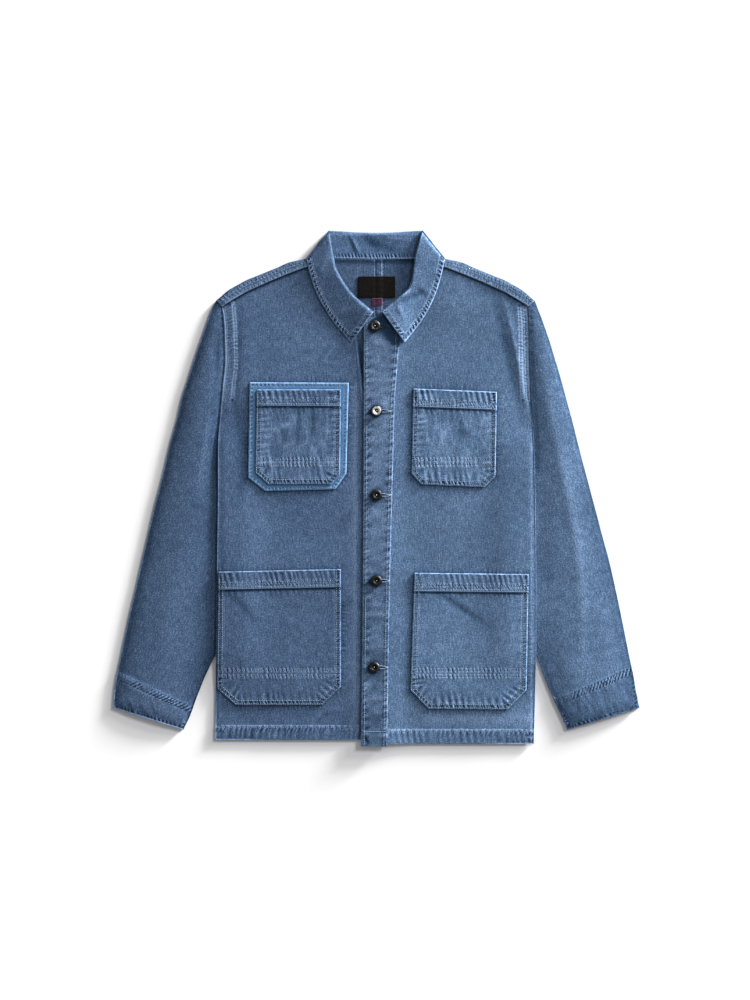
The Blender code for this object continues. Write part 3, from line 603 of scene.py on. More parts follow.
def under_top_of(node):
    """Rest height one wall below the CAD node's own upper face."""
    solid = tree_of(node_triangles(node))
    return lambda plan: cast(solid, plan, False) - WALL


def level_at(height):
    """The same rest height all over."""
    return lambda plan: np.full(len(plan), height)


def roll_drop(line, height, width):
    """Carries a face down over a roll that lies along a line."""
    def drop(plan):
        gap, _ = near_path(*plan.T, line)
        return height * (1.0 - quarter_round(np.abs(gap), width))
    return drop


def outline_of(node, spacing=FINE, up=True):
    return Outline(facing_loops(node, up)[0], spacing)


# ---- materials ----
class Nodes:
    """A small helper that adds nodes to a material and links them."""

    def __init__(self, name):
        self.material = bpy.data.materials.new(name)
        self.material.use_nodes = True
        self.tree = self.material.node_tree
        self.shader = self.tree.nodes["Principled BSDF"]

    def add(self, kind, values=None, **settings):
        node = self.tree.nodes.new(kind)
        for key, value in settings.items():
            setattr(node, key, value)
        for key, value in (values or {}).items():
            if isinstance(value, bpy.types.NodeSocket):
                self.tree.links.new(value, node.inputs[key])
            else:
                node.inputs[key].default_value = value
        return node

    def link(self, source, socket):
        self.tree.links.new(source, self.shader.inputs[socket])

    def set(self, **values):
        for key, value in values.items():
            self.shader.inputs[key.replace("_", " ")].default_value = value

    def math(self, operation, a, b=0.0, clamp=False):
        node = self.add("ShaderNodeMath", {0: a, 1: b}, operation=operation, use_clamp=clamp)
        return node.outputs[0]

    def sum_of(self, start, parts):
        """start plus each (socket, weight), with the noise sockets centred on their middle."""
        total = start
        for socket, weight, middle in parts:
            centred = self.math("SUBTRACT", socket, middle)
            total = self.math("ADD", self.math("MULTIPLY", centred, weight), total)
        return total

    def noise(self, place, scale, **more):
        return self.add("ShaderNodeTexNoise", {"Vector": place, "Scale": scale, **more}).outputs[
            "Fac"]

    def marks(self):
        """The mesh's own wear and shade, which carry painted highlight and painted shade as well as
        wear and kept dye.
        """
        finish = self.add("ShaderNodeAttribute", attribute_name="finish").outputs["Color"]
        parts = self.add("ShaderNodeSeparateColor", {0: finish}).outputs
        return parts["Red"], parts["Green"]

    def relief(self, height, strength, distance):
        values = {"Height": height, "Strength": strength, "Distance": distance}
        self.link(self.add("ShaderNodeBump", values).outputs[0], "Normal")

    def ramp(self, factor, stops):
        node = self.add("ShaderNodeValToRGB", {0: factor})
        ramp_stops = node.color_ramp.elements
        while len(ramp_stops) < len(stops):
            ramp_stops.new(0.5)
        for element, (place, colour) in zip(ramp_stops, stops):
            element.position = place
            element.color = (*colour, 1.0)
        return node.outputs["Color"]


TWILL_PITCH = 0.0009        # metres between twill lines
TWILL_ANGLE = math.radians(63.0)
WAVE_PERIOD = 0.314         # of Blender's wave bands at scale 1


def cloth_material(name, stops, grain=1.0, sheen=0.04):
    """Washed twill: diagonal ribs, slubs, speckle and slow fading, worn and shaded by the mesh,
    whose marks include painted highlight and painted shade.
    """
    made = Nodes(name)
    place = made.add("ShaderNodeUVMap", uv_map="grain").outputs[0]
    turned = made.add("ShaderNodeMapping", {"Vector": place, "Rotation": (0, 0, TWILL_ANGLE)})
    twill = made.add("ShaderNodeTexWave", {
        "Vector": turned.outputs[0], "Scale": WAVE_PERIOD / TWILL_PITCH, "Distortion": 1.6,
        "Detail": 1.0, "Detail Scale": 0.6}).outputs["Fac"]
    stretched = made.add("ShaderNodeMapping", {"Vector": place, "Scale": (1.0, 0.16, 1.0)})
    slub = made.noise(stretched.outputs[0], 620.0)
    speckle = made.noise(place, 480.0, Detail=3.0, Roughness=0.65)
    mottle, fading = made.noise(place, 90.0), made.noise(place, 11.0)
    wear, shade = made.marks()
    tone = made.sum_of(0.5, [
        (twill, 0.14 * grain, 0.5), (slub, 0.60 * grain, 0.5), (speckle, 1.35 * grain, 0.5),
        (mottle, 0.26, 0.5), (fading, 0.24, 0.5), (wear, 0.80, 0.0), (shade, -0.72, 0.0)])
    made.link(made.ramp(made.math("ADD", tone, 0.0, clamp=True), stops), "Base Color")
    made.relief(made.sum_of(0.5, [(twill, 0.5, 0.5), (speckle, 0.9, 0.5), (slub, 0.4, 0.5)]),
                0.55, 0.0003)
    made.set(Roughness=0.88, Specular_IOR_Level=0.08, Sheen_Weight=sheen, Sheen_Roughness=0.45)
    return made.material


def shades_of(middle, deep=0.20, pale=2.9):
    """Ramp stops from unfaded dye and painted shade over the cloth's own colour to a worn edge
    and painted highlight.
    """
    middle = np.array(middle)
    grey = np.array([0.30, 0.33, 0.36])
    pale_colour = 0.72 * middle * pale + 0.28 * grey * (middle.mean() * pale / grey.mean())
    dark = middle * deep * np.array([0.75, 1.15, 1.4])
    return [(0.0, tuple(dark)), (0.28, tuple(0.5 * (dark + middle))), (0.5, tuple(middle)),
            (0.74, tuple(0.45 * pale_colour + 0.55 * middle)), (1.0, tuple(pale_colour))]


def metal_material(name, dark, bright):
    """Gunmetal with its plating rubbed through to silver on the high places."""
    made = Nodes(name)
    place = made.add("ShaderNodeTexCoord").outputs["Object"]
    patches, scratches = made.noise(place, 420.0, Detail=4.0), made.noise(place, 2600.0)
    wear, _ = made.marks()
    tone = made.sum_of(0.25, [(patches, 0.8, 0.5), (scratches, 0.25, 0.5), (wear, 0.65, 0.0)])
    made.link(made.ramp(tone, [(0.0, dark), (0.45, dark), (1.0, bright)]), "Base Color")
    made.link(made.sum_of(0.50, [(patches, 0.3, 0.5)]), "Roughness")
    made.relief(scratches, 0.25, 0.0001)
    made.set(Metallic=1.0)
    return made.material


def thread_material(name, colour):
    """Twisted sewing thread."""
    made = Nodes(name)
    twist = made.noise(made.add("ShaderNodeTexCoord").outputs["Object"], 1500.0)
    colour = np.array(colour)
    made.link(made.ramp(twist, [(0.3, tuple(0.6 * colour)), (0.7, tuple(1.25 * colour))]),
              "Base Color")
    made.set(Roughness=0.7, Specular_IOR_Level=0.3, Sheen_Weight=0.1)
    return made.material


def floor_material():
    """A plain white table, faintly uneven."""
    made = Nodes("floor")
    cloud = made.noise(made.add("ShaderNodeTexCoord").outputs["Object"], 3.0)
    made.link(made.ramp(cloud, [(0.0, (0.90, 0.90, 0.91)), (1.0, (0.93, 0.93, 0.935))]),
              "Base Color")
    made.set(Roughness=0.9, Specular_IOR_Level=0.0)
    return made.material


# ---- stitching ----
STITCH, STITCH_GAP, STITCH_HALF = 2.7, 0.7, 0.33
STITCH_LIFT = 0.05          # of a stitch's middle above the cloth
STITCH_RING = 5             # points round a thread


def spaced(points, step):
    """Points and directions at even steps along a broken line."""
    points = np.array(points, dtype=float)
    passed = passed_along(points)
    stops = np.arange(step / 2, passed[-1], step)
    run = places_at(stops + 0.1, passed, points) - places_at(stops - 0.1, passed, points)
    return places_at(stops, passed, points), unit(run)


def thread_body(ends, half, lift):
    """Points and faces of one short bent thread between two places on a surface."""
    start, end = (np.array(e, dtype=float) for e in ends)
    run = end - start
    across = np.array([-run[1], run[0], 0.0]) / (np.linalg.norm(run[:2]) + 1e-9)
    up = np.array([0.0, 0.0, 1.0])
    sections = []
    for share, size, rise in ((0.0, 0.35, -0.5), (0.22, 1.0, 0.55), (0.78, 1.0, 0.55),
                              (1.0, 0.35, -0.5)):
        middle = start + run * share + up * (lift + rise * half)
        sections.append([middle + half * size * (math.cos(a) * across + math.sin(a) * up)
                         for a in (2 * math.pi * k / STITCH_RING for k in range(STITCH_RING))])
    points = np.array(sections).reshape(-1, 3)
    faces = []
    for i in range(len(sections) - 1):
        for k in range(STITCH_RING):
            a, b = i * STITCH_RING + k, i * STITCH_RING + (k + 1) % STITCH_RING
            faces += [(a, b, b + STITCH_RING), (a, b + STITCH_RING, a + STITCH_RING)]
    return points, faces


def join_threads(name, threads, material="thread"):
    """One mesh piece from many short threads."""
    points, faces, start = [], [], 0
    for body, body_faces in threads:
        points.append(body)
        faces += [(a + start, b + start, c + start) for a, b, c in body_faces]
        start += len(body)
    mesh_piece(name, np.vstack(points), faces, material)


def stitch(name, rows, tree, upward=False):
    """Rows of topstitching on a surface, sunk a little into it."""
    threads = []
    lift = -STITCH_LIFT if upward else STITCH_LIFT
    for row in rows:
        places, runs = spaced(row, STITCH + STITCH_GAP)
        for k, ((x, y), (rx, ry)) in enumerate(zip(places.tolist(), runs.tolist())):
            half = STITCH / 2 * (1.0 + 0.12 * float(noise(k, x, 1.0, 5)))
            sway = 0.18 * float(noise(k, y, 1.0, 9))
            ends = []
            for sign in (-1, 1):
                px, py = x + sign * half * rx - sway * ry, y + sign * half * ry + sway * rx
                ends.append((px, py, surface_height(tree, px, py, upward)))
            if None not in (ends[0][2], ends[1][2]):
                threads.append(thread_body(ends, STITCH_HALF, lift))
    join_threads(name, threads)


def inset_path(points, inset):
    """A broken line moved to its left by an inset, with mitred bends."""
    points = np.array(points, dtype=float)
    normals = to_left(unit(np.diff(points, axis=0)))
    moved = []
    for i, point in enumerate(points):
        before, after = normals[max(i - 1, 0)], normals[min(i, len(normals) - 1)]
        moved.append(tuple(point + inset * (before + after) / (1.0 + float(before @ after))))
    return moved


# ---- where things are on the jacket ----
Pocket = namedtuple("Pocket", "name top_l top_r low_l low_r foot_l foot_r band rows")
PATCH = Pocket("patch", (-188.6, 158.3), (-39.9, 157.5), (-190.7, 15.5), (-43.5, 21.2),
               (-164.9, -4.7), (-60.0, -1.8), 0.0, ())

POCKETS = {
    RIGHT: [
        Pocket("pocket_chest_right", (-177.8, 147.5), (-51.5, 147.5), (-179.9, 22.7),
               (-53.0, 19.8), (-160.5, 5.4), (-65.9, 5.4), 24.3, (42.5, 35.5)),
        Pocket("pocket_hip_right", (-235.2, -125.6), (-51.6, -121.7), (-237.2, -300.6),
               (-51.6, -297.8), (-209.4, -325.5), (-80.3, -325.5), 26.7, (-273.0, -282.0)),
    ],
    LEFT: [
        Pocket("pocket_chest_left", (56.6, 149.0), (182.1, 143.9), (54.3, 21.2), (180.0, 17.6),
               (68.7, 5.4), (163.5, 1.0), 27.0, (42.5, 35.5)),
        Pocket("pocket_hip_left", (58.5, -127.2), (229.4, -129.2), (52.5, -303.0),
               (226.4, -303.0), (79.7, -331.1), (198.2, -332.1), 27.5, (-273.0, -282.0)),
    ],
}
ARMHOLE = {
    RIGHT: [(-227.0, 272.0), (-224.6, 245.5), (-223.6, 213.0), (-222.9, 187.0), (-226.3, 161.0),
            (-229.0, 132.0)],
    LEFT: [(227.0, 272.0), (228.6, 245.5), (229.0, 213.0), (229.4, 187.0), (230.4, 161.0),
           (232.0, 132.0)],
}
ARMHOLE_INSETS = {RIGHT: (2.5, 14.5), LEFT: (2.5, 11.0)}
CUFF_EDGE = {
    RIGHT: [(-390.0, -275.0), (-382.2, -278.4), (-276.5, -326.6), (-266.0, -331.0)],
    LEFT: [(266.0, -313.8), (271.8, -316.2), (383.6, -268.1), (391.0, -265.0)],
}
SIDE_SEAM_X = {RIGHT: -236.0, LEFT: 237.0}
BUTTON_PLACES = [(-0.6, 242.7), (1.8, 115.5), (1.8, -10.5), (1.7, -138.8), (-1.7, -268.4)]
# A crease's mark sets how much lighter its ridge is made (partly wear, partly painted highlight)
# and how much painted shade its trough gets.
CREASES = {             # points, height, width, and its mark where it isn't the usual
    "front_left": [
        ([(191.0, 290.0), (206.0, 230.0), (215.0, 187.5), (222.0, 145.0), (232.7, 102.0)],
         0.8, 4.5),
        ([(177.0, 290.0), (191.0, 230.0), (201.0, 187.5), (211.0, 140.0), (224.0, 98.0)],
         -0.5, 7.0)],
    "front_right": [
        ([(-29.0, 225.0), (-30.0, 0.0), (-31.0, -345.0)], 0.35, 5.0),
        ([(-30.0, 232.0), (-27.0, 205.0), (-22.5, 170.0), (-18.5, 118.0)], 0.5, 2.3, 1.0),
        ([(-25.0, 226.0), (-22.0, 195.0), (-18.5, 150.0)], -0.6, 2.6, 0.8),
        ([(-203.0, 268.0), (-207.0, 215.0), (-210.0, 165.0), (-214.0, 110.0)], -0.35, 7.0),
        ([(-205.0, 120.0), (-198.0, 60.0), (-205.0, -20.0)], -0.3, 9.0)],
    "sleeve_left": [
        ([(254.0, 160.0), (269.0, 88.0), (281.0, 35.0), (304.0, -81.0), (314.0, -187.0),
          (311.0, -262.0)], 0.8, 13.0, 0.35)],
    "sleeve_right": [
        ([(-244.0, 180.0), (-252.0, 90.0), (-268.0, -20.0)], 0.5, 8.0, 0.2),
        ([(-233.0, 252.0), (-236.0, 205.0), (-238.0, 160.0)], -0.6, 6.0)],
    "placket": [([(-17.0, -373.0), (-11.0, -383.0)], -0.6, 2.2, 0.9)],
    "pocket_hip_left": [([(88.0, -156.0), (100.0, -162.0), (163.0, -204.0)], -0.5, 5.0)],
    "pocket_hip_right": [([(-225.0, -158.0), (-205.0, -170.0), (-180.0, -200.0)], -0.3, 6.0)],
    "pocket_chest_left": [([(118.0, 112.0), (126.0, 95.0), (144.0, 60.0)], -0.2, 7.0)],
    "pocket_chest_right": [([(-93.0, 118.0), (-93.0, 95.0), (-95.0, 66.0)], -0.3, 3.5)],
    "collar_left": [
        ([(20.0, 276.0), (33.0, 285.0), (56.0, 297.5)], 1.7, 3.0),
        ([(26.0, 271.0), (44.0, 281.0), (68.0, 292.0)], -1.2, 4.0),
        ([(33.0, 279.0), (36.0, 268.0), (44.0, 252.0)], 0.6, 4.0),
        ([(60.0, 300.0), (72.0, 290.0), (80.0, 286.0)], -0.6, 5.0)],
    "collar_right": [
        ([(-24.0, 272.0), (-46.0, 268.0), (-62.0, 262.0)], 0.2, 9.0),
        ([(-66.0, 360.0), (-78.0, 330.0), (-80.0, 306.0)], 0.3, 8.0)],
    "collar_stand": [
        ([(-37.0, 378.0), (-31.0, 366.0), (-24.0, 350.0)], 0.9, 3.0),
        ([(-42.0, 378.0), (-36.0, 366.0), (-30.0, 350.0)], -0.5, 3.0, 0.1),
        ([(-16.0, 378.0), (-8.0, 368.0), (2.0, 358.0)], -0.4, 6.0),
        ([(-12.0, 372.0), (8.0, 362.0), (34.0, 352.0)], -0.35, 7.0),
        ([(10.0, 378.0), (30.0, 374.0), (54.0, 372.0)], 0.4, 5.0)],
}


def sewn_edge(pocket, closed=False):
    """A pocket's sewn edge, from one top corner round to the other, or all the way round."""
    edge = [pocket.top_l, pocket.low_l, pocket.foot_l, pocket.foot_r, pocket.low_r, pocket.top_r]
    return edge + [pocket.top_l] if closed else edge


def band_line(pocket):
    """Lower edge of a pocket's top band, from left to right."""
    drop = pocket.top_l[1] - pocket.low_l[1]
    return [tuple(t + (w - t) * pocket.band / drop for t, w in zip(top, low))
            for top, low in ((pocket.top_l, pocket.low_l), (pocket.top_r, pocket.low_r))]


def row_across(pocket, y):
    """A level row of stitching from side to side of a pocket."""
    return [(pocket.low_l[0] + 2.0, y), (pocket.low_r[0] - 2.0, y)]


# ---- body ----
def hem_rows(side):
    """Stitching of a front's hem, and of its armhole."""
    inner = 20.0 if side == RIGHT else -14.0
    level = HEM_Y[side] + HEM_ROW
    hem = [(side * 236.0, level), (-side * inner, level)]
    return [hem[::side]] + [
        [(x - side * inset, y) for x, y in ARMHOLE[side]] for inset in ARMHOLE_INSETS[side]]


def front_detail(side):
    """Hem roping, armhole and pocket marks, and the creases of one front, with painted shadow
    under the shoulder strip's edge and round each pocket.
    """
    def detail(face):
        face.soften(0.28, 11 + side)
        face.creases("front_" + SIDE_NAME[side])
        hem_top = HEM_Y[side] + HEM_DEPTH
        face.edge(9.5, 21 + side, reach=17.5, strength=0.25, slant=0.15 * side,
                  where=ramp(face.y, hem_top + 3.0, hem_top))
        face.gathered(hem_top - 1.0 - face.y, face.x, 5.2, 25, 8.0,
                      0.45 if side == RIGHT else 0.25, slant=0.5)
        face.roll_off(14.0, 1.0, ramp(side * face.x, 150.0, 200.0))
        for i, row in enumerate(hem_rows(side)):
            face.seam(row, 5.0 if i else 8.0, 31 + i, width=2.4, strength=1.2 if i else 0.7)
        armhole, along = face.near(ARMHOLE[side])
        upper = ramp(face.y, 125.0, 160.0)
        face.gathered(-side * armhole, along, 4.6, 35, 14.0, 0.35 * upper)
        band = ARMHOLE_INSETS[side][-1]
        for inset in (1.4, band - 1.7, band + 1.5):
            face.wear += 0.6 * upper * bump(np.abs(armhole) - inset, 0.9)
        face.wear += 0.12 * upper * ramp(np.abs(armhole), band + 2.5, band - 1.5)
        # painted shadow under the shoulder strip's lower edge
        face.darken(face.near(signed(side, STRIP_EDGE))[0], 2.6, 1.1)
        if side == LEFT:
            face.wear += 0.20 * bump(face.y + 346.0, 11.0) * ramp(face.x, 60.0, 90.0)
        else:
            face.wear += 0.26 * bump(face.x + 31.0, 9.0) * ramp(face.y, 170.0, 150.0)
        side_gap = np.abs(face.x - SIDE_SEAM_X[side])
        face.wear += 0.20 * bump(side_gap - 3.0, 1.2) * ramp(face.y, 100.0, 60.0)
        for pocket in POCKETS[side] + ([PATCH] if side == RIGHT else []):
            gap, along = face.near(sewn_edge(pocket, closed=True))
            # painted shadow round the pocket's raised edge
            face.darken(gap, 2.4, 0.35)
            face.waves(puckers(along, 6.0, 41) * bump(np.abs(gap) - 4.0, 4.0), 0.20, shade=0.30)
    return detail


def hem_extra(side):
    """The doubled hem's extra thickness."""
    hem_top = HEM_Y[side] + HEM_DEPTH
    return lambda plan: BAND_EXTRA * ramp(plan[:, 1], hem_top + 1.2, hem_top - 0.4)


FELL_EDGE = 9.9             # the centre seam is felled over to the wearer's left
FELL_ROWS = (1.4, 8.0)
BACK_HEM_ROW = -357.0
NECK_SHADOW = [(-88.0, 344.6), (-59.0, 341.0), (0.0, 340.2), (59.0, 341.0), (88.0, 344.6)]
BACK_CREASE = [(60.0, 250.0), (120.0, 120.0), (150.0, 10.0)]


def fell_extra(plan):
    """The felled centre seam's extra thickness, inside."""
    return 0.7 * ramp(plan[:, 0], FELL_EDGE + 0.5, FELL_EDGE - 0.5)


def back_rows(side):
    """Stitching of a back's hem, and of the felled seam on the wearer's left."""
    hem = [(2.0, BACK_HEM_ROW), (238.0, BACK_HEM_ROW)]
    fell = [[(x, -372.0), (x, 340.0)] for x in FELL_ROWS] if side == LEFT else []
    return [signed(side, hem)[::side]] + fell


def back_detail(side, inside):
    """The back: felled centre seam, hem and side puckers, and the slack of worn cloth; painted
    shade beside the fell, and inside, painted shadow under the neck and the left collar fall.
    """
    def detail(face):
        face.soften(0.0 if inside else 0.10, 51 + side)
        hem_zone = ramp(face.y, BACK_HEM_ROW + 5.0, BACK_HEM_ROW + 1.0)
        face.edge(8.5, 71, reach=17.5, strength=0.8, where=hem_zone)
        for i, row in enumerate(back_rows(side)):
            face.seam(row, 9.0, 73 + i, width=3.0, strength=0.9 if i == 0 else 0.4)
        face.wear += 0.4 * bump(face.x - FELL_EDGE + 0.4, 0.9) + 0.3 * bump(face.x, 1.0)
        # painted shade beside the felled seam's raised edge
        face.darken(face.x - FELL_EDGE - 2.2, 1.6, 0.3)
        if inside:
            face.darken(face.near(NECK_SHADOW)[0], 4.0, 0.7)
            # painted shade under the wearer's left collar fall
            face.shade += 0.12 * ramp(face.x, 15.0, 60.0)
        else:
            face.crease(signed(side, BACK_CREASE), 0.25, 16.0, mark=0.2)
    return detail


def add_backs():
    shells = {}
    for side, word in SIDE_NAME.items():
        name = "back_" + word
        shells[side] = lay_sheet(
            name + "_cloth", name, outline_of(name, COARSE, up=False), COARSE, "lining",
            detail=back_detail(side, True), extra=fell_extra,
            under_spacing=COARSE, under_detail=back_detail(side, False), smooth=30,
            rows=back_rows(side))
    return shells


def add_fronts():
    shells = {}
    for side, word in SIDE_NAME.items():
        name = "front_" + word
        shells[side] = lay_sheet(
            name + "_cloth", name, outline_of(name), FINE, "denim_" + word,
            detail=front_detail(side), extra=hem_extra(side),
            stitched=True, rows=hem_rows(side))
    return shells


SHOULDER_FOLD = [(80.0, 347.6), (103.0, 344.2), (130.0, 338.5), (156.0, 327.0), (194.0, 312.0),
                 (221.0, 297.0), (238.3, 281.5)]

STRIP_EDGE = [(80.0, 336.0), (103.0, 331.5), (130.0, 321.5), (156.0, 311.0), (194.0, 294.0),
              (221.0, 278.0), (229.7, 271.9)]


def strip_rows(side):
    """The two rows of stitching along a forward shoulder seam."""
    return [[(side * (a[0] + (b[0] - a[0]) * share), a[1] + (b[1] - a[1]) * share)
             for a, b in zip(SHOULDER_FOLD[1:], STRIP_EDGE[1:])] for share in (0.30, 0.86)]


def strip_detail(side):
    """A shoulder strip's worn seam, painted shade at its fold, and its stitching."""
    def detail(face):
        face.edge(6.0, 81 + side, reach=15.0, strength=0.2, slant=0.6)
        seam, _ = face.near(signed(side, STRIP_EDGE))
        face.wear += 1.1 * bump(np.abs(seam) - 0.9, 1.1)
        # painted shade where the strip turns down over the shoulder
        face.darken(face.near(signed(side, SHOULDER_FOLD))[0], 2.2, 0.9)
        for i, row in enumerate(strip_rows(side)):
            face.seam(row, 6.0, 83 + i, width=1.6, strength=1.2)
    return detail


def add_strips(fronts):
    """The back's cloth where it comes over each shoulder and ends on the front."""
    shells = {}
    for side, word in SIDE_NAME.items():
        node = "back_" + word
        loop = np.array(signed(side, SHOULDER_FOLD + STRIP_EDGE[::-1]))
        shells[side] = lay_sheet(
            "shoulder_strip_" + word, node, Outline(loop, 1.3), 1.4, "denim_" + word,
            carriers=[fronts[side]],
            rest_height=under_top_of(node), detail=strip_detail(side), smooth=10,
            drop=roll_drop(signed(side, SHOULDER_FOLD), 2.6, 3.4))
    return shells


# ---- sleeves ----
CUFF_ROWS = (1.5, 9.5)      # below the cuff's upper edge
INNER_SLEEVE = [(-229.0, 132.0), (-266.0, -331.0)]


def band_extra(line, start, end):
    """The extra thickness of cloth that is doubled to the left of a line."""
    return lambda plan: BAND_EXTRA * ramp(near_path(*plan.T, line)[0], start, end)


def cuff_rows(side):
    """Two rows round a cuff."""
    return [inset_path(CUFF_EDGE[side], -inset) for inset in CUFF_ROWS]


def sleeve_detail(side, shown):
    """Cuff roping, the armhole's puckers and the long soft folds of a sleeve, with painted shade
    at its rounded edges, on the left sleeve's outer edge and by the body on the right sleeve.
    """
    def detail(face):
        face.soften(0.30 if shown else 0.08, 91 + side)
        gap, along_cuff = face.near(CUFF_EDGE[side])
        below = ramp(-gap, -1.0, 2.0)
        face.edge(6.0, 95 + side, reach=5.0, where=ramp(-gap, 22.0, 26.0))
        if shown:
            face.roll_off(18.0, 1.5 if side == RIGHT else 0.3)
            # painted shade where the sleeve rounds down at its edges
            face.darken(face.depth, 14.0, 0.14)
        face.height += 0.22 * below * noise(face.x + 0.4 * face.y, 0.3 * face.y, 5.5, 97)
        face.wear += (0.06 if side == RIGHT else 0.0) * below
        face.shade += (0.07 if side == LEFT else 0.0) * below
        face.gathered(-gap, along_cuff, 5.4, 98, 10.5, 0.9, slant=0.8)
        for i, row in enumerate(cuff_rows(side)):
            face.seam(row, 5.4, 99 + i, width=2.5, strength=0.3)
        armhole, along = face.near(ARMHOLE[side])
        face.waves(puckers(along, 11.0, 101) * bump(armhole, 8.0) * ramp(face.y, 120.0, 170.0),
                   0.30, shade=0.22)
        if shown and side == LEFT:
            # painted shade on the left sleeve's outer edge
            face.darken(face.depth, 12.0, 0.12 * ramp(face.x - 0.14 * face.y, 300.0, 330.0))
        if shown and side == RIGHT:
            # painted shade on the right sleeve beside the body
            face.darken(face.near(INNER_SLEEVE)[0], 18.0, 0.16)
        if shown:
            face.creases("sleeve_" + SIDE_NAME[side])
    return detail


def add_sleeves():
    """Each sleeve's under piece on the floor, and its top piece on that."""
    for side, word in SIDE_NAME.items():
        material, grain = "sleeve_" + word, -15.0 * side
        under, top = (f"sleeve_{word}_{part}" for part in ("under", "top"))
        lay_sheet(under + "_cloth", under, outline_of(under), HIDDEN, material,
                  under_spacing=COARSE, under_detail=sleeve_detail(side, False), smooth=4,
                  grain=grain)
        lay_sheet(top + "_cloth", top, outline_of(top), FINE, material,
                  detail=sleeve_detail(side, True), extra=band_extra(CUFF_EDGE[side], 3.0, -3.0),
                  smooth=90, grain=grain, stitched=True, rows=cuff_rows(side))


# ---- applied pieces ----
POCKET_INSETS = (1.9, 7.0)
BAND_ROWS = (3.2, 10.0)     # above a band's lower edge


def pocket_detail(pocket, seed, slack):
    """Band, double stitched edge and puckers of a patch pocket; slack is how much it gathers."""
    def detail(face):
        face.soften(0.20, seed)
        face.crumple(0.32 * slack, seed + 3)
        gap, along = face.near(sewn_edge(pocket))
        gap = np.abs(gap)
        foot = ramp(face.y, pocket.rows[-1] + 2.0, pocket.rows[-1] - 4.0)
        face.gathered(gap, along, 5.8, seed + 1, 6.8, 0.26 + 0.16 * slack + 0.35 * foot)
        face.fray(face.depth, face.along, 0.75)
        face.wear += 0.45 * bump(gap - 8.8, 1.0)
        for inset in POCKET_INSETS:
            face.sink(gap - inset)
        swell = puckers(along + 0.15 * gap, 10.0, seed + 2) * bump(gap - 11.0, 9.0)
        face.waves(swell * np.maximum(slack, 1.5 * foot), 0.24, 0.15, 0.30)
        face.creases(pocket.name)
        band_marks(face, pocket, seed)
        for y in pocket.rows:
            face.seam(row_across(pocket, y), 5.8, seed + 5, width=4.0, strength=1.15, slant=0.3)
    return detail


def band_marks(face, pocket, seed):
    """Puckers over a pocket's top band, the painted shadow line under it and the bar tacks at its
    ends.
    """
    line = band_line(pocket)
    gap, along = face.near(line)
    beat = puckers(along + 0.25 * gap, 8.5, seed + 7)
    inside = ramp(gap, BAND_ROWS[1] - 3.0, BAND_ROWS[1] + 1.0) * ramp(
        gap, pocket.band, pocket.band - 3.0)
    face.waves(beat, 0.30, 0.34, 0.50, inside)
    face.wear += 0.75 * bump(gap - 0.9, 0.9)
    # painted shadow under the band's lower edge
    face.darken(gap + 1.6, 1.5, 0.9)
    face.waves(beat, 0.20, 0.0, 0.45, ramp(gap, -1.0, -3.0) * ramp(gap, -16.0, -4.0))
    face.gathered(gap, along, 4.4, seed + 8, BAND_ROWS[1] - 0.5, 0.60, slant=0.8)
    for inset in BAND_ROWS:
        face.seam(inset_path(line, inset), 5.0, seed + 9, width=2.2)
    for end in line:
        beside = np.abs(np.abs(face.x - end[0]) - 8.6)
        face.darken(beside, 1.0, 0.5 * ramp(gap, -1.0, 1.0))


def pocket_rows(pocket):
    """All the stitching of a pocket."""
    return [inset_path(sewn_edge(pocket), inset) for inset in POCKET_INSETS] + [
        inset_path(band_line(pocket), inset) for inset in BAND_ROWS] + [
        row_across(pocket, y) for y in pocket.rows]


def add_pocket(pocket, seed, material, carriers, slack):
    name, rows = pocket.name, pocket_rows(pocket)
    line = band_line(pocket)
    shell = lay_sheet(name + "_cloth", name, outline_of(name, 1.3), 1.9, material,
                      carriers=carriers,
                      detail=pocket_detail(pocket, seed, slack),
                      extra=band_extra(line, -0.5, 0.5), smooth=12, stitched=True,
                      rows=[line] + rows[3:])
    stitch("stitching_" + name, rows, shell.top)


def patch_detail(face):
    face.soften(0.06, 140)
    face.edge(6.0, 141, reach=5.0, strength=0.6)
    # painted shadow round the chest pocket that sits on the patch
    face.darken(face.near(sewn_edge(POCKETS[RIGHT][0], closed=True))[0], 2.4, 0.45)


def add_applied(fronts):
    """The patch and the four pockets."""
    patch = lay_sheet("patch_cloth", "patch", outline_of("patch", 1.3), 1.9, "patch",
                      carriers=[fronts[RIGHT]],
                      detail=patch_detail, smooth=12, stitched=True)
    stitch("stitching_patch", [inset_path(sewn_edge(PATCH, closed=True), 2.2)], patch.top)
    chest_right, hip_right = POCKETS[RIGHT]
    chest_left, hip_left = POCKETS[LEFT]
    add_pocket(chest_right, 110, "chest_right", [fronts[RIGHT], patch], 1.0)
    add_pocket(hip_right, 120, "hip_right", [fronts[RIGHT]], 0.2)
    add_pocket(chest_left, 130, "chest_left", [fronts[LEFT]], 1.0)
    add_pocket(hip_left, 150, "hip_left", [fronts[LEFT]], 0.25)


PLACKET_LEFT = [(-17.3, 250.0), (-17.3, 132.0), (-18.6, -112.5), (-19.8, -235.5), (-21.5, -387.0)]
PLACKET_RIGHT = [(17.6, -387.0), (19.8, -235.5), (22.4, -112.5), (28.8, 132.0), (35.5, 214.5),
                 (37.0, 250.0)]

COLLAR_HOLLOW = [(4.0, 258.0), (15.0, 243.0), (31.0, 224.0)]      # in the left point's shadow


def placket_rows():
    level = HEM_Y[LEFT] + HEM_ROW
    return [inset_path(PLACKET_LEFT, 4.5), inset_path(PLACKET_RIGHT, 5.0),
            [(-18.0, level), (15.0, level)]]


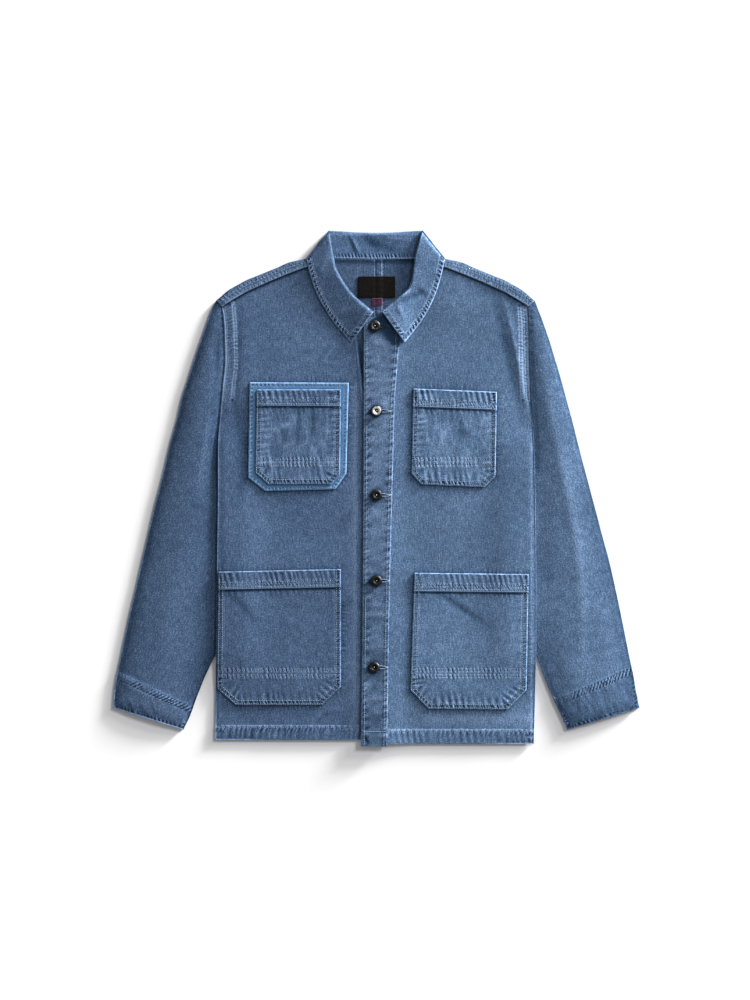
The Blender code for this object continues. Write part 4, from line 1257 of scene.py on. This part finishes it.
def placket_detail(face):
    """The band's gathered edges, its wrinkles, a darker ring round each button, and painted shade
    in each buttonhole's slit and under the left collar point.
    """
    face.soften(0.18, 160)
    for line, seed, light in ((PLACKET_LEFT, 161, 0.7), (PLACKET_RIGHT, 165, 0.3)):
        gap, along = face.near(line)
        gap = np.abs(gap)
        face.gathered(gap, along, 8.0, seed, 6.5, 0.34, slant=0.5)
        face.waves(puckers(along + 0.4 * gap, 13.0, seed + 1) * bump(gap - 7.0, 5.0), 0.40,
                   shade=0.50)
        face.fray(gap, along, light)
    across = noise(face.x * 0.45, face.y, 7.0, 168)
    low = ramp(face.y, -60.0, -260.0)
    face.waves(across, 0.16, 0.16)
    face.shade += (0.08 + 0.16 * low) * dips(across) + 0.10 * low
    face.creases("placket")
    for x, y in BUTTON_PLACES:
        face.darken(np.hypot(face.x - x, face.y - y) - 7.0, 4.5, 0.55)
        # painted shade in the buttonhole's slit
        face.darken(np.hypot((face.x - x - 12.0) / 2.6, face.y - y), 2.2, 0.5)
    # painted shadow under the left collar point
    face.darken(face.near(COLLAR_HOLLOW)[0], 9.0, 2.2)


def add_placket(fronts):
    shell = lay_sheet("placket_cloth", "placket", outline_of("placket", 1.4), 1.7, "placket",
                      carriers=[fronts[LEFT]], detail=placket_detail,
                      smooth=10, stitched=True)
    stitch("stitching_placket", placket_rows(), shell.top)
    return shell


# ---- collar ----
COLLAR_ROLL = {
    RIGHT: [(2.3, 264.3), (9.5, 270.0), (18.0, 277.0), (31.5, 288.3), (41.0, 300.0),
            (51.0, 315.0), (59.0, 331.0), (63.0, 352.0), (67.0, 375.0), (69.0, 387.0)],
    LEFT: [(9.75, 264.8), (17.0, 271.0), (25.4, 278.0), (38.0, 288.0), (48.0, 297.0),
           (53.5, 307.0), (56.0, 322.0), (59.0, 347.0), (66.0, 374.0), (70.5, 387.0)],
}
COLLAR_EDGE = {
    RIGHT: [(103.5, 344.5), (100.5, 330.0), (98.0, 321.0), (92.0, 300.0), (84.0, 283.0),
            (75.0, 267.0), (66.0, 253.0), (56.3, 240.2), (46.0, 229.0), (35.9, 217.8)],
    LEFT: [(104.5, 344.5), (101.5, 330.0), (99.0, 319.0), (92.5, 296.0), (84.5, 277.0),
           (76.5, 262.0), (68.0, 248.5), (60.0, 238.0), (52.0, 228.0), (43.9, 217.8)],
}
COLLAR_STAND = [(-72.0, 345.2), (-59.0, 343.8), (0.0, 342.6), (59.0, 343.8), (72.0, 345.2),
                (70.0, 386.0), (58.0, 385.8), (30.0, 383.8), (0.0, 383.0), (-30.0, 383.8),
                (-58.0, 385.8), (-70.0, 386.0)]

COLLAR_BEHIND = [(-101.0, 342.5), (-86.0, 329.0), (-64.0, 323.5), (-32.0, 320.0), (0.0, 318.5),
                 (32.0, 320.0), (64.0, 323.5), (86.0, 329.0), (101.0, 342.5), (86.0, 364.0),
                 (68.5, 383.2), (40.0, 382.8), (0.0, 381.6), (-40.0, 382.8), (-68.5, 383.2),
                 (-86.0, 364.0)]

NECK_SEAM = COLLAR_STAND[:5]
BEHIND_EDGE = COLLAR_BEHIND[:9]      # the outer edge of the fall behind the neck
FALL_ROW = 6.0              # topstitching in from the collar's edge


def fall_edge(side):
    """A front fall's sewn edge, from the shoulder round its point to the middle."""
    return signed(side, COLLAR_EDGE[side] + [COLLAR_ROLL[side][0]])


def fall_detail(side):
    """A front fall's puckered edge, worn roll, painted shade along the roll's edge, and creases."""
    def detail(face):
        face.soften(0.30, 170 + side)
        gap, along = face.near(fall_edge(side))
        gap = np.abs(gap)
        face.gathered(gap, along, 6.4, 173, 6.8, 0.8, slant=0.5)
        face.sink(gap - FALL_ROW, 0.9)
        face.fray(gap, along, 0.95, 1.6)
        face.wear += 0.35 * bump(gap - 8.0, 1.0)
        from_roll, along_roll = face.near(signed(side, COLLAR_ROLL[side]))
        face.wear += 0.22 * bump(np.abs(from_roll) - 2.4, 1.6)
        # painted shade along the roll's edge
        face.darken(from_roll, 1.3, 0.30)
        slack = noise(along_roll, 0.3 * from_roll, 13.0, 175)
        face.height += 0.22 * slack * bump(np.abs(from_roll) - 12.0, 12.0)
        face.creases("collar_" + SIDE_NAME[side])
    return detail


def stand_detail(face):
    """The inside of the collar: worn roll, long wrinkles, puckers over the neck seam, and painted
    shade over it all.
    """
    face.soften(0.25, 180)
    gap, along = face.near(NECK_SEAM)
    gap = np.abs(gap)
    face.gathered(gap, along, 5.0, 181, 8.0, 0.8)
    face.wear += 0.6 * bump(gap - 1.0, 1.0)
    # painted shade over the whole stand, which lies under the collar
    face.shade += 0.12
    face.creases("collar_stand")
    face.wear += 0.30 * bump(face.y - 381.0, 2.0)


def behind_detail(face):
    """The puckered, worn edge of the fall behind the neck."""
    gap, along = face.near(BEHIND_EDGE)
    gap = np.abs(gap)
    face.gathered(gap, along, 4.2, 190, 5.5, 0.8, slant=0.7)
    face.wear += 0.8 * bump(gap, 1.2)


def fall_drop(side):
    """A front fall's edges go down over its roll, and further where it turns to the back."""
    roll, edge = signed(side, COLLAR_ROLL[side]), signed(side, COLLAR_EDGE[side])
    deep = roll_drop([roll[-1], (side * 88.0, 365.0), edge[0]], 7.0, 6.0)
    shallow = roll_drop(roll, 3.0, 2.6)
    return lambda plan: np.maximum(deep(plan), shallow(plan))


def add_collar(carriers):
    """The collar: the two front falls, the stand behind the neck and the fall behind it."""
    for side, word in SIDE_NAME.items():
        loop = np.array(signed(side, COLLAR_ROLL[side] + [(88.0, 365.0)] + COLLAR_EDGE[side]))
        shell = lay_sheet("collar_fall_" + word, "collar", Outline(loop, 1.2), 1.6,
                          "collar_" + word,
                          carriers=carriers, rest_height=under_top_of("collar"),
                          detail=fall_detail(side), smooth=40, drop=fall_drop(side),
                          stitched=True)
        stitch("stitching_collar_" + word, [inset_path(fall_edge(side), -side * FALL_ROW)],
               shell.top)
    stand = lay_sheet("collar_stand", "collar", Outline(np.array(COLLAR_STAND), 1.4), 1.5,
                      "inside", rest_height=level_at(1.9),
                      detail=stand_detail, smooth=0, drop=roll_drop(COLLAR_STAND[5:], 1.6, 2.4))
    behind = lay_sheet("collar_behind", "collar", Outline(np.array(COLLAR_BEHIND), 2.0), 4.0,
                       "denim", rest_height=level_at(0.0),
                       under_spacing=2.2, under_detail=behind_detail, smooth=0)
    stitch("stitching_neck", [[(x, y + 2.2) for x, y in NECK_SEAM]], stand.top)
    stitch("stitching_collar_behind", [inset_path(BEHIND_EDGE, FALL_ROW)], behind.bottom,
           upward=True)


# ---- labels, buttons and buttonholes ----
LABEL_WALL = 0.9
LABEL_ROUNDING = 5          # passes that round a woven label's corners


def label_detail(face):
    face.height += 0.10 * noise(face.x, face.y, 12.0, 10)
    face.wear += 0.5 * bump(face.depth, 0.8)
    face.shade += 0.4 * bump(face.depth - 1.8, 0.8)


def add_labels(backs):
    """The neck label and the size tab, both left bare."""
    for name, finish in (("neck_label", "label_black"), ("size_label", "label_plum")):
        rounded = Outline(facing_loops(name, True)[0], 1.2, corner=180.0, rounding=LABEL_ROUNDING)
        lay_sheet(name + "_cloth", name, rounded, 1.2, finish,
                  carriers=[backs[RIGHT], backs[LEFT]], detail=label_detail, wall=LABEL_WALL,
                  smooth=6)


BUTTON_PROFILE = [(0.0, 3.4), (0.7, 3.35), (1.15, 3.0), (1.35, 1.9), (1.5, 1.3), (2.1, 1.2),
                  (2.4, 1.9), (2.7, 2.8), (3.2, 3.3), (4.0, 3.65), (4.8, 3.9), (5.6, 3.98),
                  (6.4, 3.85), (7.2, 3.4), (7.9, 2.8), (8.35, 2.1), (8.5, 1.5), (8.3, 0.8),
                  (7.6, 0.1), (0.0, 0.0)]

BUTTON_SEGMENTS = 56
BUTTON_WORN = (0.30, 1.2, 0.05, 0.15, 0.0)


def add_buttons():
    """Turned metal buttons: a rounded ring, a sunken middle and a bright rivet."""
    count = len(BUTTON_PROFILE)
    faces = []
    for k in range(BUTTON_SEGMENTS):
        here, there = k * count, (k + 1) % BUTTON_SEGMENTS * count
        for j in range(count - 1):
            faces += [(here + j, here + j + 1, there + j + 1), (here + j, there + j + 1, there + j)]
    for i, ((x, y), worn) in enumerate(zip(BUTTON_PLACES, BUTTON_WORN), start=1):
        node = f"button_{i}"
        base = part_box(node)[0].z / MM
        points, wear = [], []
        for k in range(BUTTON_SEGMENTS):
            angle = 2 * math.pi * k / BUTTON_SEGMENTS
            for radius, height in BUTTON_PROFILE:
                points.append((x + radius * math.cos(angle), y + radius * math.sin(angle),
                               base + height))
                raised = bump(radius, 1.2) + 0.35 * bump(radius - 7.6, 0.5)
                ring = ramp(radius, 2.4, 3.2) * ramp(radius, 7.0, 5.8)
                wear.append(raised + ring * worn)
        obj = mesh_piece(node + "_turned", points, faces, "gunmetal",
                         (np.array(wear), np.zeros(len(wear))))
        weld(obj)
        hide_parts(node)


def weld(obj):
    """Merge points that lie on each other, and drop the faces that this empties."""
    bm = bmesh.new()
    bm.from_mesh(obj.data)
    bmesh.ops.remove_doubles(bm, verts=bm.verts, dist=1e-6)
    bmesh.ops.dissolve_degenerate(bm, edges=bm.edges, dist=1e-7)
    bmesh.ops.recalc_face_normals(bm, faces=bm.faces)
    bm.to_mesh(obj.data)
    bm.free()


HOLE_START, HOLE_END = 6.0, 19.0        # from the button's middle
HOLE_HALF, HOLE_DROOP = 1.9, 0.9
HOLE_STITCHES = 30
TACK_STITCHES, TACK_STEP, TACK_HALF = 4, 0.6, 1.9


def hole_outline(x, y, grow):
    """A keyhole slit's outline, drooping a little to its far end."""
    middle, half = (HOLE_START + HOLE_END) / 2, (HOLE_END - HOLE_START) / 2
    outline = []
    for k in range(HOLE_STITCHES):
        angle = 2 * math.pi * k / HOLE_STITCHES
        along = math.cos(angle)
        width = HOLE_HALF * (0.62 - 0.38 * along) + grow
        px = x + middle + (half + grow) * along
        py = y + width * math.sin(angle) - HOLE_DROOP * (0.5 + 0.5 * along) ** 2
        outline.append((px, py))
    return outline


def add_buttonholes(placket):
    """Thread round each slit in the placket, a bar tack at its end, and a near-black sheet in each
    slit as its painted shadow; the top hole's thread is a darker copy, as painted shade.
    """
    def on_cloth(x, y, off=None):
        height = surface_height(placket.top, x, y)
        return x, y, off if height is None else height

    for i, (x, y) in enumerate(BUTTON_PLACES, start=1):
        threads = []
        for inner, outer in zip(hole_outline(x, y, -0.2), hole_outline(x, y, 1.5)):
            ends = [on_cloth(*inner), on_cloth(*outer)]
            if None not in (ends[0][2], ends[1][2]):
                threads.append(thread_body(ends, 0.50, 0.15))
        tack_y = y - HOLE_DROOP     # off the placket's edge a tack's thread lies at the floor
        for k in range(TACK_STITCHES):
            tack_x = x + HOLE_END + 1.0 + TACK_STEP * k
            ends = [on_cloth(tack_x, tack_y + rise, 0.0) for rise in (-TACK_HALF, TACK_HALF)]
            threads.append(thread_body(ends, 0.45, 0.18))
        # the top hole's thread is a darker copy: painted shade under the collar
        join_threads(f"buttonhole_{i}", threads, "thread_in_painted_shade" if i == 1 else "thread")
        # a near-black sheet over each slit: painted shadow in the hole
        points = [on_cloth(*place) for place in hole_outline(x, y, -0.1)]
        points = [(px, py, height + 0.05) for px, py, height in points]
        last = len(points)
        points.append((x + (HOLE_START + HOLE_END) / 2, y - 0.2,
                       min(height for _, _, height in points) - 0.05))
        faces = [(last, k, (k + 1) % last) for k in range(last)]
        mesh_piece(f"buttonhole_slit_{i}", points, faces, "slit")


# ---- stage ----
LIGHT_COLOUR = (1.0, 0.99, 0.98)
Light = namedtuple("Light", "name azimuth elevation softness strength")
LIGHTS = [Light("key", 42.0, 34.0, 16.0, 1.5), Light("low", 38.0, 14.0, 9.0, 1.9),
          Light("graze", 42.0, 6.5, 8.5, 12.6)]

SKY_COLOUR, SKY_STRENGTH = (0.97, 0.98, 1.0, 1.0), 0.30
FLOOR_HALF, FLOOR_DROP = 14.0, 0.0002   # metres
LENS, SENSOR = 85.0, 36.0
CAMERA_OVER = (-0.45, -18.0)            # the plan place that it looks straight down on
CAMERA_HEIGHT = 3.545                   # metres


def add_floor():
    mesh = bpy.data.meshes.new("floor")
    corners = [(x, y, 0) for x, y in ((-FLOOR_HALF, -FLOOR_HALF), (FLOOR_HALF, -FLOOR_HALF),
                                      (FLOOR_HALF, FLOOR_HALF), (-FLOOR_HALF, FLOOR_HALF))]
    mesh.from_pydata(corners, [], [(0, 1, 2, 3)])
    mesh.materials.append(floor_material())
    floor = bpy.data.objects.new("floor", mesh)
    floor.location.z = -FLOOR_DROP
    bpy.context.scene.collection.objects.link(floor)


def add_light(light):
    """A far soft light; its softness is the angle it fills as seen from the jacket."""
    lamp = bpy.data.lights.new(light.name, "SUN")
    lamp.angle, lamp.energy, lamp.color = math.radians(light.softness), light.strength, LIGHT_COLOUR
    obj = bpy.data.objects.new(light.name, lamp)
    turn, rise = math.radians(light.azimuth), math.radians(light.elevation)
    place = Vector((math.cos(turn) * math.cos(rise), math.sin(turn) * math.cos(rise),
                    math.sin(rise)))
    obj.rotation_euler = (-place).to_track_quat("-Z", "Y").to_euler()
    bpy.context.scene.collection.objects.link(obj)


def add_stage():
    """The floor, the lights, and the camera straight above."""
    add_floor()
    for light in LIGHTS:
        add_light(light)
    sky = bpy.data.worlds.new("studio")
    sky.use_nodes = True
    background = sky.node_tree.nodes["Background"]
    background.inputs["Color"].default_value = SKY_COLOUR
    background.inputs["Strength"].default_value = SKY_STRENGTH
    scene = bpy.context.scene
    scene.world = sky
    scene.view_settings.view_transform = "Standard"
    camera = bpy.data.cameras.new("camera")
    camera.lens, camera.sensor_width = LENS, SENSOR
    obj = bpy.data.objects.new("camera", camera)
    obj.location = (*((CAMERA_OVER + SHIFT) * MM), CAMERA_HEIGHT)
    scene.collection.objects.link(obj)
    scene.camera = obj


# The wearer's left side, nearer the light, gets lighter colours than the right, here and in TONES:
# mostly painted light, partly a real difference in washing.
BODY = {RIGHT: (0.058, 0.104, 0.193), LEFT: (0.072, 0.129, 0.230)}
TONES = {               # right and left, as shares of that side's body
    "denim": (1.0, 1.0), "chest": (1.00, 1.08), "hip": (0.88, 1.07), "sleeve": (0.84, 1.10),
    "collar": (0.90, 1.25)}


def make_materials():
    """Every finish; the wearer's left side lies nearer the light, and its lighter cloth is mostly
    painted light and partly a little more washing.
    """
    made = {}
    for part, shares in TONES.items():
        for (side, word), share in zip(SIDE_NAME.items(), shares):
            name = f"{part}_{word}"
            made[name] = cloth_material(name, shades_of(share * np.array(BODY[side])))
    for key, name, share in (("denim", "denim", 1.0), ("inside", "denim_inside", 1.3),
                             ("lining", "denim_back", 0.85)):
        made[key] = cloth_material(name, shades_of(share * np.array(BODY[RIGHT])))
    made["placket"] = cloth_material("denim_placket", shades_of((0.077, 0.130, 0.228)))
    made["patch"] = cloth_material("denim_patch", shades_of((0.092, 0.200, 0.370), 0.45, 2.0))
    made["label_black"] = cloth_material(
        "label_black", shades_of((0.0055, 0.0048, 0.0044), 0.4, 4.0), grain=0.6, sheen=0.02)
    made["label_plum"] = cloth_material(
        "label_plum", shades_of((0.060, 0.022, 0.050), 0.4, 3.0), grain=0.6)
    # near-black cloth for the slits: painted shadow
    made["slit"] = cloth_material("slit_painted_shadow", shades_of((0.006, 0.009, 0.016)))
    made["gunmetal"] = metal_material("gunmetal", (0.030, 0.031, 0.034), (0.95, 0.94, 0.92))
    made["thread"] = thread_material("thread", (0.220, 0.320, 0.450))
    # a darker copy of the thread: painted shade for the top buttonhole under the collar
    made["thread_in_painted_shade"] = thread_material("thread_in_painted_shade", (0.020, 0.034, 0.062))
    return made


def dress():
    """All the pieces, from the ones on the floor up."""
    add_sleeves()
    backs = add_backs()
    fronts = add_fronts()
    strips = add_strips(fronts)
    add_applied(fronts)
    placket = add_placket(fronts)
    for side, word in SIDE_NAME.items():
        stitch("stitching_front_" + word, hem_rows(side), fronts[side].top)
        stitch("stitching_strip_" + word, strip_rows(side), strips[side].top)
    add_collar([fronts[RIGHT], fronts[LEFT], strips[RIGHT], strips[LEFT], placket])
    add_labels(backs)
    add_buttons()
    add_buttonholes(placket)


for leftover in list(bpy.data.objects):
    bpy.data.objects.remove(leftover, do_unlink=True)

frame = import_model()
materials = make_materials()
add_stage()
dress()
